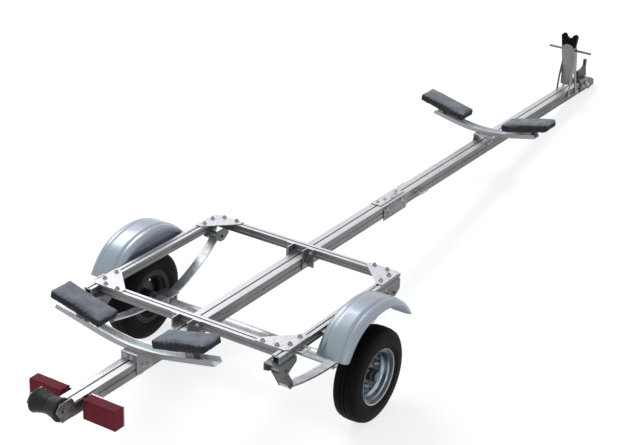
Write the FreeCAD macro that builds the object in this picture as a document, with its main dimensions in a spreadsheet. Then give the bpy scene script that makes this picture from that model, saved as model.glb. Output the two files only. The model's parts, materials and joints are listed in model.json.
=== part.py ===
"""Light aluminium boat trailer, built on one central beam.

The trailer is drawn in its own level frame, with the middle of the axle at the origin, +X
towards the coupler, +Y to the left and +Z up. It has no jack, so it parks with the coupler's
nose on the floor. At the end every piece is turned nose down by the angle at which both tyres
and the nose touch the floor.
"""
import FreeCAD, Part
import math
import os
import Sketcher

DIMENSIONS = {
    # wheels and axle
    "wheel_track": 1180, "wheel_radius": 206, "tyre_width": 110, "seat_radius": 101,
    "flange_radius": 124, "rim_width": 98, "rim_wall": 3, "disc_place": 4,
    "hub_flange_radius": 62, "hub_flange": 8, "hub_barrel_radius": 26,
    "cap_reach": 46, "hub_inner_reach": 46, "spindle_radius": 13, "running_gap": 0.05,
    "axle_radius": 25,
    # frame of two rails and two crossmembers
    "rail_clear": 47, "frame_rear": 454, "frame_front": 404, "rail_tail": 50, "rail_top": 270,
    "rail_width": 38, "rail_height": 38, "rail_wall": 2.5, "slot_width": 8, "slot_depth": 5,
    "gusset_leg": 154, "gusset_tip": 28, "gusset_corner": 16, "gusset_sag": 150, "plate": 4,
    # central beam
    "beam_width": 69, "beam_height": 60, "beam_wall": 3, "beam_tail": 1172, "beam_splice": 1120,
    "beam_nose": 3305, "splice_length": 207, "splice_height": 58, "splice_hang": 13,
    "top_splice_length": 215, "top_splice_width": 55, "top_splice_shift": 7,
    "angle_reach": 43, "angle_wing": 33, "angle_length": 88, "angle_plate": 5,
    # springs
    "spring_inset": 35.5, "leaf_width": 45, "leaf": 8, "leaf_seat": 32, "clamp_half": 36,
    "front_bend": 120, "front_bend_angle": 18, "front_curve": 912, "front_curve_angle": 37.9,
    "rear_curve": 1389, "rear_curve_angle": 15.57, "eye_radius": 14, "bolt_radius": 6,
    "hanger_half": 31, "hanger_length": 96, "shackle_run": 62, "shackle_rise": 98,
    "shackle_half_width": 15, "channel_rear": 50, "channel_front": 70, "ubolt": 8,
    # fenders
    "fender_gap": 95, "fender_offset": 86, "fender_width": 148, "fender_skirt": 35,
    "fender_corner": 15, "fender_wall": 2.5, "fender_x": 12, "fender_z": 45,
    "fender_start": 26.5, "fender_sweep": 125.5, "fender_nose": 21, "fender_heel": 5, "stay_width": 28,
    # cradles and pads
    "cradle_rear_x": 767, "cradle_front_x": 2086, "cradle_width": 53, "cradle_height": 30,
    "cradle_bend": 860, "arm_angle": 12, "rear_arm": 390, "front_arm": 298,
    "rear_lift": 31, "front_lift": 34, "rear_saddle_shift": 9, "front_saddle_shift": 28,
    "saddle_rear_length": 112, "saddle_front_length": 84, "saddle_drop": 60,
    "pad_length": 238, "pad_width": 110, "pad_thickness": 35, "pad_chamfer": 5,
    "rear_pad_middle": 275, "front_pad_middle": 264, "rear_pad_rise": 36, "front_pad_rise": 14,
    "rear_pad_shift": -13, "front_pad_shift": 9, "pad_seat": 70,
    # keel roller and lamps
    "roller_reach": 93, "roller_z": 253, "roller_half": 64, "roller_radius": 48,
    "roller_waist": 34, "waist_half": 14, "roller_edge": 12, "shaft_radius": 8,
    "arm_seat": 52,
    "lamp_setback": 25, "lamp_depth": 55, "lamp_gap": 19.5, "lamp_width": 152, "lamp_height": 85,
    "lamp_drop": -6, "lamp_base": 6, "lamp_chamfer": 3,
    # bow post and coupler
    "post_setback": 267, "post_rise": 245, "web_rise": 20, "post_foot": 22, "leg_width": 21,
    "post_spread": 81, "post_shin": 66, "post_hip": 61, "post_crotch": 51,
    "stop_height": 77, "stop_depth": 26, "stop_lobe": 15, "stop_half": 48, "stop_notch": 24,
    "tie_bar_x": 37, "tie_bar_drop": 19, "tie_bar_half": 126, "tie_bar_radius": 6.5,
    "tie_bar_neck": 4.5,
    "coupler_lap": 115, "ball_reach": 86, "ball_radius": 24.2, "ball_z": 170, "nose_bottom": 168,
    "coupler_wall": 4.8,
    "roof_rear": 17, "roof_front": 6, "roof_chamfer": 17, "latch_run": 19, "latch_foot": 60, "rod_run": 95,
    "rod_rise": 108, "rod_width": 22, "latch_width": 14,
    # strap loops
    "loop_length": 60, "loop_reach": 36, "loop_wire": 7, "rail_loop_run": 52, "beam_loop_run": 124,
    # side clearance of a plate on a beam or in a channel
    "fit_gap": 0.2,
}

doc = FreeCAD.newDocument("BoatTrailer")
sheet = doc.addObject("Spreadsheet::Sheet", "Sizes")


class Size:
    """A number with the expression that gives it from the sheet's cells."""

    def __init__(self, value, text=None):
        self.value = float(value)
        self.text = text if text else repr(float(value))

    def __add__(self, other):
        other = as_size(other)
        return Size(self.value + other.value, f"({self.text} + {other.text})")

    def __sub__(self, other):
        other = as_size(other)
        return Size(self.value - other.value, f"({self.text} - {other.text})")

    def __mul__(self, other):
        other = as_size(other)
        return Size(self.value * other.value, f"({self.text} * {other.text})")

    def __truediv__(self, other):
        other = as_size(other)
        return Size(self.value / other.value, f"({self.text} / {other.text})")

    def __neg__(self):
        return self * -1

    def __radd__(self, other):
        return as_size(other) + self

    def __rsub__(self, other):
        return as_size(other) - self

    def __rmul__(self, other):
        return as_size(other) * self


def as_size(number):
    return number if isinstance(number, Size) else Size(number)


def sine(angle):
    return Size(math.sin(math.radians(angle.value)), f"sin({angle.text})")


def cosine(angle):
    return Size(math.cos(math.radians(angle.value)), f"cos({angle.text})")


def root(size):
    return Size(math.sqrt(size.value), f"sqrt({size.text})")


class Dimensions:
    """The sheet's cells by name, each as a Size."""


def fill_sheet():
    cells = Dimensions()
    for row, (name, number) in enumerate(DIMENSIONS.items(), start=1):
        sheet.set(f"A{row}", name)
        sheet.set(f"B{row}", str(number))
        sheet.setAlias(f"B{row}", name)
        setattr(cells, name, Size(number, f"Sizes.{name}"))
    doc.recompute()
    return cells


d = fill_sheet()
pieces = []
PLANES = {"yz": "YZ_Plane", "xz": "XZ_Plane", "xy": "XY_Plane"}


def new_body(name):
    """Start the body of one sub-part."""
    body = doc.addObject("PartDesign::Body", name)
    body.Label = name
    pieces.append(body)
    return body


def new_sketch(body, plane, lift):
    """A sketch on one of the body's own planes, lifted along its axis."""
    sketch = body.newObject("Sketcher::SketchObject", body.Name + "_sketch")
    support = next(f for f in body.Origin.OriginFeatures if f.Role == PLANES[plane])
    sketch.AttachmentSupport = [(support, "")]
    sketch.MapMode = "FlatFace"
    lift = as_size(lift)
    sketch.AttachmentOffset.Base.z = lift.value
    sketch.setExpression("AttachmentOffset.Base.z", lift.text)
    return sketch


def arc_between(start, end, radius):
    """The short arc from start to end: a positive radius turns left, a negative one right."""
    chord = end - start
    left = FreeCAD.Vector(-chord.y, chord.x, 0).normalize()
    if radius < 0:
        left = left * -1
    rise = math.sqrt(max(radius * radius - chord.Length ** 2 / 4, 0))
    centre = (start + end) / 2 + left * rise
    first, last = (start, end) if radius > 0 else (end, start)
    circle = Part.Circle(centre, FreeCAD.Vector(0, 0, 1), abs(radius))
    return Part.ArcOfCircle(circle, circle.parameter(first), circle.parameter(last))


def arc_constraint(index, start, end):
    """The radius of an arc, or for a half circle the place of its centre."""
    turn = start[2] if start[2].value > 0 else -start[2]
    across, up = end[0].value - start[0].value, end[1].value - start[1].value
    if abs(math.hypot(across, up) - 2 * turn.value) > 1e-6:
        return Sketcher.Constraint("Radius", index, turn.value), turn.text
    axis, kind = (1, "DistanceY") if abs(across) > abs(up) else (0, "DistanceX")
    middle = (start[axis] + end[axis]) / 2
    return Sketcher.Constraint(kind, -1, 1, index, 3, middle.value), middle.text


def draw_loop(sketch, points):
    """Draw one closed outline. A third value in a point is the radius of the arc to the next."""
    points = [[as_size(value) for value in point] for point in points]
    corners = [FreeCAD.Vector(point[0].value, point[1].value, 0) for point in points]
    constraints = []
    formulas = []
    first = sketch.GeometryCount
    ends = []
    for i, point in enumerate(points):
        start, end = corners[i], corners[(i + 1) % len(corners)]
        if len(point) == 3:
            sketch.addGeometry(arc_between(start, end, point[2].value))
            ends.append((1, 2) if point[2].value > 0 else (2, 1))
        else:
            sketch.addGeometry(Part.LineSegment(start, end))
            ends.append((1, 2))
    for i, point in enumerate(points):
        after = (i + 1) % len(points)
        constraints.append(Sketcher.Constraint("Coincident", first + i, ends[i][1],
                                               first + after, ends[after][0]))
        formulas.append(None)
        for kind, value in (("DistanceX", point[0]), ("DistanceY", point[1])):
            constraints.append(Sketcher.Constraint(kind, -1, 1, first + i, ends[i][0], value.value))
            formulas.append(value.text)
        if len(point) == 3:
            constraint, formula = arc_constraint(first + i, point, points[after])
            constraints.append(constraint)
            formulas.append(formula)
    bind(sketch, constraints, formulas)


def draw_circle(sketch, x, y, radius):
    x, y, radius = as_size(x), as_size(y), as_size(radius)
    centre = FreeCAD.Vector(x.value, y.value, 0)
    index = sketch.addGeometry(Part.Circle(centre, FreeCAD.Vector(0, 0, 1), radius.value))
    bind(sketch, [Sketcher.Constraint("DistanceX", -1, 1, index, 3, x.value),
                  Sketcher.Constraint("DistanceY", -1, 1, index, 3, y.value),
                  Sketcher.Constraint("Radius", index, radius.value)],
         [x.text, y.text, radius.text])


def bind(sketch, constraints, formulas):
    """Add the constraints and tie each one with a formula to the sheet."""
    first = sketch.ConstraintCount
    sketch.addConstraint(constraints)
    for i, formula in enumerate(formulas):
        if formula:
            sketch.setExpression(f"Constraints[{first + i}]", formula)


def prism(body, plane, low, high, loops, circles=(), cut=False):
    """Pad or pocket outlines between two places along the axis across the plane."""
    low, high = as_size(low), as_size(high)
    lift = -high if plane == "xz" else low
    sketch = new_sketch(body, plane, lift)
    for loop in loops:
        draw_loop(sketch, loop)
    for circle in circles:
        draw_circle(sketch, *circle)
    feature = body.newObject("PartDesign::Pocket" if cut else "PartDesign::Pad", body.Name + "_step")
    feature.Profile = sketch
    if cut:
        feature.Reversed = True
    length = high - low
    feature.Length = length.value
    feature.setExpression("Length", length.text)
    return feature


def turned(body, loops, plane="xy", across=0, lift=0, cut=False):
    """Turn outlines about the upright axis of a sketch. Their x values are radii."""
    sketch = new_sketch(body, plane, lift)
    across = as_size(across)
    sketch.AttachmentOffset.Base.x = across.value
    sketch.setExpression("AttachmentOffset.Base.x", across.text)
    for loop in loops:
        draw_loop(sketch, loop)
    feature = body.newObject("PartDesign::Groove" if cut else "PartDesign::Revolution",
                             body.Name + "_turn")
    feature.Profile = sketch
    feature.ReferenceAxis = (sketch, ["V_Axis"])
    feature.Angle = 360
    return feature


def rectangle(x0, x1, y0, y1):
    return [(x0, y0), (x1, y0), (x1, y1), (x0, y1)]


def group(name, members):
    """One sub-part made of solids that stand apart."""
    compound = doc.addObject("Part::Compound", name)
    compound.Label = name
    compound.Links = members
    for member in members:
        pieces.remove(member)
    pieces.append(compound)
    return compound


def sides():
    return (("left", 1), ("right", -1))


# frame levels and places that several pieces share
beam_top = d.rail_top - d.rail_height
beam_bottom = beam_top - d.beam_height
beam_side = d.beam_width / 2
wheel_y = d.wheel_track / 2
rail_outer = wheel_y - d.tyre_width / 2 - d.rail_clear
rail_inner = rail_outer - d.rail_width
rail_bottom = d.rail_top - d.rail_height
spring_y = rail_outer - d.spring_inset
crossmember_front_face = d.frame_front - d.rail_width
fender_radius = d.wheel_radius + d.fender_gap
fender_inner = wheel_y - d.fender_offset
plate_inside = beam_side + d.fit_gap
plate_outside = plate_inside + d.plate
roller_x = -d.beam_tail - d.roller_reach
lamp_rear = -d.beam_tail + d.lamp_setback
lamp_front = lamp_rear + d.lamp_depth
lamp_inner = beam_side + d.lamp_gap
lamp_top = beam_top - d.lamp_drop
post_top = beam_top + d.post_rise
post_x = d.beam_nose - d.post_setback
coupler_start = d.beam_nose - d.coupler_lap
ball_x = d.beam_nose + d.ball_reach
latch_x = coupler_start + d.latch_run
coupler_nose = d.ball_radius + d.coupler_wall


def leaf_places():
    """Where the leaf's lower line ends in front and at the back, with the way it leads there."""
    flat, seat = d.clamp_half, d.leaf_seat
    first, last = d.front_bend_angle, d.front_curve_angle
    bend_x = flat + d.front_bend * sine(first)
    bend_z = seat + d.front_bend * (1 - cosine(first))
    front_x = bend_x + d.front_curve * (sine(last) - sine(first))
    front_z = bend_z + d.front_curve * (cosine(first) - cosine(last))
    rear_x = -flat - d.rear_curve * sine(d.rear_curve_angle)
    rear_z = seat + d.rear_curve * (1 - cosine(d.rear_curve_angle))
    return bend_x, bend_z, front_x, front_z, rear_x, rear_z


bend_x, bend_z, leaf_front_x, leaf_front_z, leaf_rear_x, leaf_rear_z = leaf_places()
front_eye_x = (leaf_front_x - d.leaf / 2 * sine(d.front_curve_angle)
               + (d.eye_radius - 3) * cosine(d.front_curve_angle))
front_eye_z = (leaf_front_z + d.leaf / 2 * cosine(d.front_curve_angle)
               + (d.eye_radius - 3) * sine(d.front_curve_angle))
rear_eye_x = leaf_rear_x + d.eye_radius * sine(d.rear_curve_angle)
rear_eye_z = leaf_rear_z + d.eye_radius * cosine(d.rear_curve_angle)
shackle_x = rear_eye_x - d.shackle_run
shackle_z = rear_eye_z + d.shackle_rise


def slotted_section(half, low, high, wall):
    """A hollow extrusion's outline with a slot along its top and both sides, and its bore."""
    slot = d.slot_width / 2
    middle = (low + high) / 2
    deep = d.slot_depth
    outline = [(-half, low), (half, low), (half, middle - slot), (half - deep, middle - slot),
               (half - deep, middle + slot), (half, middle + slot), (half, high),
               (slot, high), (slot, high - deep), (-slot, high - deep), (-slot, high),
               (-half, high), (-half, middle + slot), (deep - half, middle + slot),
               (deep - half, middle - slot), (-half, middle - slot)]
    inside = half - deep - wall
    bore = rectangle(-inside, inside, low + wall, high - deep - wall)
    return outline, bore


def beam(name, start, end):
    body = new_body(name)
    outline, bore = slotted_section(beam_side, beam_bottom, beam_top, d.beam_wall)
    prism(body, "yz", start, end, [outline, bore])


def shifted(points, across, up=0):
    return [(x + across, y + up) for x, y in points]


def side_rail(side, sign):
    body = new_body(f"side_rail_{side}")
    half = d.rail_width / 2
    outline, bore = slotted_section(half, rail_bottom, d.rail_top, d.rail_wall)
    middle = (rail_outer - half) * sign
    prism(body, "yz", -d.frame_rear - d.rail_tail, d.frame_front,
          [shifted(outline, middle), shifted(bore, middle)])


def crossmember(name, rear_face):
    body = new_body(name)
    half = d.rail_width / 2
    outline, bore = slotted_section(half, rail_bottom, d.rail_top, d.rail_wall)
    middle = rear_face + half
    prism(body, "xz", -rail_inner, rail_inner, [shifted(outline, middle), shifted(bore, middle)])


def gusset(name, end, end_sign, sign):
    """A corner plate on a rail and a crossmember, with a hollowed inner edge."""
    body = new_body(name)
    x0, y0 = end, rail_outer * sign
    inx, iny = -end_sign, -sign
    leg, tip, corner = d.gusset_leg, d.gusset_tip, d.gusset_corner
    sag = -d.gusset_sag if inx * iny > 0 else d.gusset_sag
    outline = [(x0 + corner * inx, y0), (x0 + leg * inx, y0), (x0 + leg * inx, y0 + tip * iny, sag),
               (x0 + tip * inx, y0 + leg * iny), (x0, y0 + leg * iny), (x0, y0 + corner * iny)]
    prism(body, "xy", d.rail_top, d.rail_top + d.plate, [outline])
    return body


def angle_bracket(name, face, sign):
    """An upright angle behind a crossmember, down the side of the beam."""
    body = new_body(name)
    near = plate_inside * sign
    far = near + d.angle_plate * sign
    wing = far + d.angle_wing * sign
    rear = face - d.angle_reach
    prism(body, "xy", d.rail_top - d.angle_length, d.rail_top,
          [[(face, near), (rear, near), (rear, far), (face - d.angle_plate, far),
            (face - d.angle_plate, wing), (face, wing)]])
    return body


def splice_plates():
    """Plates over the joint of the two beam lengths: one on top and one on each side."""
    low, high = d.beam_splice - d.top_splice_length / 2, d.beam_splice + d.top_splice_length / 2
    half = d.top_splice_width / 2
    top = new_body("splice_top")
    prism(top, "xy", beam_top, beam_top + d.plate,
          [rectangle(low, high, d.top_splice_shift - half, d.top_splice_shift + half)])
    members = [top]
    low, high = d.beam_splice - d.splice_length / 2, d.beam_splice + d.splice_length / 2
    foot = beam_bottom - d.splice_hang
    for side, sign in sides():
        plate = new_body(f"splice_{side}")
        near, far = beam_side, beam_side + d.plate
        y0, y1 = (near, far) if sign > 0 else (-far, -near)
        prism(plate, "xz", y0, y1, [rectangle(low, high, foot, foot + d.splice_height)])
        members.append(plate)
    group("splice_plates", members)


def axle():
    body = new_body("axle")
    tube_end = wheel_y - d.hub_inner_reach - 6
    spindle_end = wheel_y + d.cap_reach - 16
    spindle = d.spindle_radius
    turned(body, [[(0, -spindle_end), (spindle, -spindle_end), (spindle, -tube_end),
                   (d.axle_radius, -tube_end), (d.axle_radius, tube_end), (spindle, tube_end),
                   (spindle, spindle_end), (0, spindle_end)]])


def leaf_spring(side, sign):
    """One leaf, bent up steeply in front and gently behind, with an eye at each end."""
    body = new_body(f"leaf_spring_{side}")
    low = spring_y * sign - d.leaf_width / 2
    high = low + d.leaf_width
    seat, thick, flat = d.leaf_seat, d.leaf, d.clamp_half
    first, last, rear = d.front_bend_angle, d.front_curve_angle, d.rear_curve_angle
    outline = [(-flat, seat), (flat, seat, d.front_bend), (bend_x, bend_z, d.front_curve),
               (leaf_front_x, leaf_front_z),
               (leaf_front_x - thick * sine(last), leaf_front_z + thick * cosine(last),
                thick - d.front_curve),
               (bend_x - thick * sine(first), bend_z + thick * cosine(first),
                thick - d.front_bend),
               (flat, seat + thick), (-flat, seat + thick, thick - d.rear_curve),
               (leaf_rear_x + thick * sine(rear), leaf_rear_z + thick * cosine(rear)),
               (leaf_rear_x, leaf_rear_z, d.rear_curve)]
    prism(body, "xz", low, high, [outline])
    bush = d.hanger_half - d.fit_gap
    prism(body, "xz", spring_y * sign - bush, spring_y * sign + bush, [],
          [(front_eye_x, front_eye_z, d.eye_radius)])
    prism(body, "xz", low, high, [], [(rear_eye_x, rear_eye_z, d.eye_radius)])
    hole = d.bolt_radius + d.running_gap
    prism(body, "xz", spring_y * sign - d.hanger_half, spring_y * sign + d.hanger_half, [],
          [(front_eye_x, front_eye_z, hole), (rear_eye_x, rear_eye_z, hole)], cut=True)


def bolt_between(name, x, z, low, high, radius):
    body = new_body(name)
    prism(body, "xz", low, high, [], [(x, z, radius)])
    return body


def spring_hanger(side, sign):
    """Two ears under the frame's front corner with the bolt of the leaf's front eye."""
    members = []
    middle = spring_y * sign
    half = d.hanger_half
    x, z = front_eye_x, front_eye_z
    wide = d.hanger_length / 2
    for ear, step in (("inner", -1), ("outer", 1)):
        body = new_body(f"hanger_{ear}_{side}")
        near = middle + half * step
        far = near + d.plate * step
        low, high = (near, far) if step > 0 else (far, near)
        prism(body, "xz", low, high,
              [[(x - wide, rail_bottom), (x - wide, z), (x - 14, z - 22), (x + 14, z - 22),
                (x + wide, z), (x + wide, rail_bottom)]],
              [(x, z, d.bolt_radius + d.running_gap)])
        members.append(body)
    reach = half + d.plate + 8
    members.append(bolt_between(f"hanger_bolt_{side}", x, z, middle - reach, middle + reach,
                                d.bolt_radius))
    group(f"spring_hanger_{side}", members)


def spring_shackle(side, sign):
    """A channel under the rail's rear end, and the links from it to the leaf's rear eye."""
    channel = new_body(f"shackle_channel_{side}")
    inner = spring_y - d.leaf_width / 2 - 2 * d.plate - 3 * d.fit_gap
    outer = rail_outer + 2 * d.plate
    low, high = (inner, outer) if sign > 0 else (-outer, -inner)
    x, z = shackle_x, shackle_z
    rear, front = x - d.channel_rear, x + d.channel_front
    foot = z - 16
    hole = d.bolt_radius + d.running_gap
    prism(channel, "xz", low, high,
          [[(rear, rail_bottom), (rear, z + 4), (x - 16, foot), (x + 16, foot), (front, z + 14),
            (front, rail_bottom)]], [(x, z, hole)])
    prism(channel, "xz", low + d.plate, high - d.plate,
          [[(rear - 1, rail_bottom - d.plate), (rear - 1, foot - 1), (front + 1, foot - 1),
            (front + 1, rail_bottom - d.plate)]], cut=True)
    members = [channel]
    middle = spring_y * sign
    half = d.leaf_width / 2 + d.fit_gap
    run, rise = x - rear_eye_x, z - rear_eye_z
    length = root(run * run + rise * rise)
    across, down = rise / length, run / length
    wide = d.shackle_half_width
    for link, step in (("inner", -1), ("outer", 1)):
        body = new_body(f"link_{link}_{side}")
        near = middle + half * step
        far = near + d.plate * step
        y0, y1 = (near, far) if step > 0 else (far, near)
        loop = []
        for cx, cz, out in ((x, z, 1), (rear_eye_x, rear_eye_z, -1)):
            for side_way, over in ((1, 0.5), (0.5, 1), (-0.5, 1), (-1, 0.5)):
                a, b = side_way * wide * out, over * wide * out
                loop.append((cx + across * a + down * b, cz + across * b - down * a))
        prism(body, "xz", y0, y1, [loop], [(x, z, hole), (rear_eye_x, rear_eye_z, hole)])
        members.append(body)
    members.append(bolt_between(f"shackle_top_{side}", x, z, low - 8, high + 8, d.bolt_radius))
    reach = half + d.plate + 8
    members.append(bolt_between(f"shackle_low_{side}", rear_eye_x, rear_eye_z, middle - reach,
                                middle + reach, d.bolt_radius))
    group(f"spring_shackle_{side}", members)


def axle_clamp(side, sign):
    """The seat under the leaf, the plate on it and two bolts bent round the axle."""
    middle = spring_y * sign
    half = d.leaf_width / 2
    seat = new_body(f"seat_{side}")
    radius = d.axle_radius + d.fit_gap
    edge = d.axle_radius * 0.8
    low = root(radius * radius - edge * edge)
    prism(seat, "xz", middle - half, middle + half,
          [[(-edge, low, -radius), (edge, low), (edge + 8, d.leaf_seat), (-edge - 8, d.leaf_seat)]])
    top = new_body(f"clamp_plate_{side}")
    level = d.leaf_seat + d.leaf
    wide = d.clamp_half
    rest = half + 2 * d.ubolt
    prism(top, "xy", level, level + 6, [rectangle(-wide, wide, middle - rest, middle + rest)])
    members = [seat, top]
    inner, outer = radius, radius + d.ubolt
    turn = math.tan(math.radians(22.5))
    for end, step in (("inner", -1), ("outer", 1)):
        bolt = new_body(f"ubolt_{end}_{side}")
        place = middle + (half + 1 + d.ubolt / 2) * step
        prism(bolt, "xz", place - d.ubolt / 2, place + d.ubolt / 2,
              [[(-outer, -outer * turn), (-outer * turn, -outer), (outer * turn, -outer),
                (outer, -outer * turn), (outer, level), (inner, level), (inner, -inner * turn),
                (inner * turn, -inner), (-inner * turn, -inner), (-inner, -inner * turn),
                (-inner, level), (-outer, level)]])
        members.append(bolt)
    group(f"axle_clamp_{side}", members)


def tyre(side, sign):
    """A tyre's section from its seat on the rim to its tread, turned about the axle's line."""
    body = new_body(f"tyre_{side}")
    y = wheel_y * sign
    half = d.tyre_width / 2
    bead = d.seat_radius + d.fit_gap
    seat = d.rim_width / 2 - d.fit_gap
    clinch = d.flange_radius + 2
    shoulder = d.wheel_radius - d.tyre_width * 0.23
    profile = [(bead, seat), (clinch, seat), (clinch, half), (shoulder, half),
               (d.wheel_radius, half * 0.5)]
    turned(body, [[(r, y - w) for r, w in profile] + [(r, y + w) for r, w in profile[::-1]]])


def rim(side, sign):
    """A rolled rim with a flange at each edge and a disc that bolts to the hub."""
    body = new_body(f"rim_{side}")
    y = wheel_y * sign
    half, wall = d.rim_width / 2, d.rim_wall
    seat, flange, bore = d.seat_radius, d.flange_radius, d.seat_radius - d.rim_wall
    face = y + d.disc_place * sign
    back = face - wall * sign
    hole = d.hub_barrel_radius + d.fit_gap
    near, far = y - (half + wall) * sign, y + (half + wall) * sign
    turned(body, [[(bore, near), (flange, near), (flange, near + wall * sign),
                   (seat, near + wall * sign), (seat, far - wall * sign),
                   (flange, far - wall * sign), (flange, far), (bore, far), (bore, face),
                   (hole, face), (hole, back), (bore, back)]])


def hub(side, sign):
    body = new_body(f"hub_{side}")
    y = wheel_y * sign
    disc_back = y + (d.disc_place - d.rim_wall) * sign
    flange_back = disc_back - d.hub_flange * sign
    inner_end = y - d.hub_inner_reach * sign
    cap_end = y + d.cap_reach * sign
    bore = d.spindle_radius + d.running_gap
    barrel = d.hub_barrel_radius
    turned(body, [[(bore, inner_end), (barrel, inner_end), (barrel, flange_back),
                   (d.hub_flange_radius, flange_back), (d.hub_flange_radius, disc_back),
                   (barrel, disc_back), (barrel, cap_end), (0, cap_end),
                   (0, cap_end - 3 * sign), (bore, cap_end - 3 * sign)]])


def fender(side, sign):
    """A curved guard over a tyre, with rounded shoulders and a skirt cut to a point in front."""
    body = new_body(f"fender_{side}")
    sketch = new_sketch(body, "xy", d.fender_z)
    sketch.AttachmentOffset = FreeCAD.Placement(
        FreeCAD.Vector(-d.fender_x.value, 0, d.fender_z.value),
        FreeCAD.Rotation(FreeCAD.Vector(0, -1, 0), d.fender_start.value))
    sketch.setExpression("AttachmentOffset.Base.x", (-d.fender_x).text)
    sketch.setExpression("AttachmentOffset.Base.z", d.fender_z.text)
    sketch.setExpression("AttachmentOffset.Rotation.Angle", d.fender_start.text)
    crown, wall, corner = fender_radius, d.fender_wall, d.fender_corner
    near = fender_inner
    far = near + d.fender_width
    lip = crown - d.fender_skirt
    outer = [(lip, near), (crown - corner, near), (crown, near + corner)]
    inner = [(lip, near + wall), (crown - corner - wall * 0.4, near + wall),
             (crown - wall, near + corner + wall * 0.4)]
    mirror = near + far
    points = outer + [(r, mirror - w) for r, w in outer[::-1]]
    points += [(r, mirror - w) for r, w in inner] + inner[::-1]
    draw_loop(sketch, [(r, w * sign) for r, w in points])
    feature = body.newObject("PartDesign::Revolution", body.Name + "_turn")
    feature.Profile = sketch
    feature.ReferenceAxis = (sketch, ["V_Axis"])
    feature.Reversed = True
    feature.Angle = d.fender_sweep.value
    feature.setExpression("Angle", d.fender_sweep.text)
    tip, cut = d.fender_start, d.fender_start + d.fender_nose
    x0, z0 = crown * cosine(tip) - d.fender_x, crown * sine(tip) + d.fender_z
    x1, z1 = lip * cosine(cut) - d.fender_x, lip * sine(cut) + d.fender_z
    low, high = (near - 1, far + 1) if sign > 0 else (-far - 1, 1 - near)
    prism(body, "xz", low, high,
          [[(x0, z0), (x1, z1), (x1 + (x1 - x0) * 0.4, z1 + (z1 - z0) * 0.4), (x1, z0 - 60),
            (x0, z0 - 60)]], cut=True)
    end = d.fender_start + d.fender_sweep
    heel = [(lip, end - d.fender_heel), (lip + d.fender_skirt * 0.7, end),
            (lip + d.fender_skirt * 0.7, end + 5), (lip - 20, end + 5),
            (lip - 20, end - d.fender_heel)]
    prism(body, "xz", low, high,
          [[(r * cosine(a) - d.fender_x, r * sine(a) + d.fender_z) for r, a in heel]], cut=True)


def fender_stays(side, sign):
    """Two stays from the rail's outer face to the guard's inner skirt."""
    members = []
    level = (d.rail_top + rail_bottom) / 2
    middle_radius = fender_radius - d.fender_skirt / 2 - 2
    rise = level - d.fender_z
    run = root(middle_radius * middle_radius - rise * rise)
    half = d.stay_width / 2
    for end, step in (("front", 1), ("rear", -1)):
        body = new_body(f"stay_{end}_{side}")
        x = run * step - d.fender_x
        y0, y1 = (rail_outer, fender_inner) if sign > 0 else (-fender_inner, -rail_outer)
        prism(body, "xy", level - 9, level + 9, [rectangle(x - half, x + half, y0, y1)])
        members.append(body)
    return members


def smile(arm, lift, up, end_back=0):
    """Half the lower line of a cradle arm: bend end, then arm end, raised by up."""
    bend_run = d.cradle_bend * sine(d.arm_angle)
    bend_rise = d.cradle_bend * (1 - cosine(d.arm_angle))
    slope = sine(d.arm_angle) / cosine(d.arm_angle)
    base = beam_top + lift + up
    reach = arm - end_back
    return bend_run, base + bend_rise, reach, base + bend_rise + (reach - bend_run) * slope


def cradle(name, place, arm, lift):
    body = new_body(name)
    half = d.cradle_width / 2
    run, run_z, end, end_z = smile(arm, lift, 0)
    _, high_z, back, back_z = smile(arm, lift, d.cradle_height, d.cradle_height)
    bend = d.cradle_bend
    prism(body, "yz", place - half, place + half,
          [[(-end, end_z), (-run, run_z, bend), (run, run_z), (end, end_z), (back, back_z),
            (run, high_z, -bend), (-run, high_z), (-back, back_z)]])
    _, low_z, past, past_z = smile(arm, lift, d.plate, -20)
    _, top_z, _, over_z = smile(arm, lift, d.cradle_height + 30, -20)
    prism(body, "yz", place - half + d.plate, place + half - d.plate,
          [[(-past, past_z), (-run, low_z, bend), (run, low_z), (past, past_z), (past, over_z),
            (run, top_z, -bend), (-run, top_z), (-past, over_z)]], cut=True)


def arm_point(sign, lift, along, up):
    """A point by its distance along a cradle arm from the middle and its height over the arm."""
    run, run_z, _, _ = smile(d.rear_arm, lift, 0)
    past = along - run
    y = run + past * cosine(d.arm_angle) - up * sine(d.arm_angle)
    z = run_z + past * sine(d.arm_angle) + up * cosine(d.arm_angle)
    return y * sign, z


def arm_box(sign, lift, start, end, low, high):
    return [arm_point(sign, lift, start, low), arm_point(sign, lift, end, low),
            arm_point(sign, lift, end, high), arm_point(sign, lift, start, high)]


def pad(name, place, lift, middle, rise, sign):
    body = new_body(name)
    half, cut = d.pad_length / 2, d.pad_chamfer
    low = d.cradle_height + rise
    high = low + d.pad_thickness
    start, end = middle - half, middle + half
    outline = [(start + cut, low), (end - cut, low), (end, low + cut), (end, high - cut),
               (end - cut, high), (start + cut, high), (start, high - cut), (start, low + cut)]
    prism(body, "yz", place - d.pad_width / 2, place + d.pad_width / 2,
          [[arm_point(sign, lift, along, up) for along, up in outline]])


def pad_bracket(name, place, lift, middle, rise, sign):
    """A U with its back under the pad and its two ears inside the cradle's channel."""
    body = new_body(name)
    half = d.pad_seat / 2
    high = d.cradle_height + rise - d.fit_gap
    inside = d.cradle_width / 2 - d.plate - d.fit_gap
    ear = half - 20
    prism(body, "yz", place - inside, place + inside,
          [arm_box(sign, lift, middle - half, middle + half, high - d.plate, high)])
    for step in (1, -1):
        x0, x1 = (inside - d.plate, inside) if step > 0 else (-inside, d.plate - inside)
        prism(body, "yz", place + x0, place + x1,
              [arm_box(sign, lift, middle - ear, middle + ear, d.plate + d.fit_gap, high)])
    return body


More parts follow.
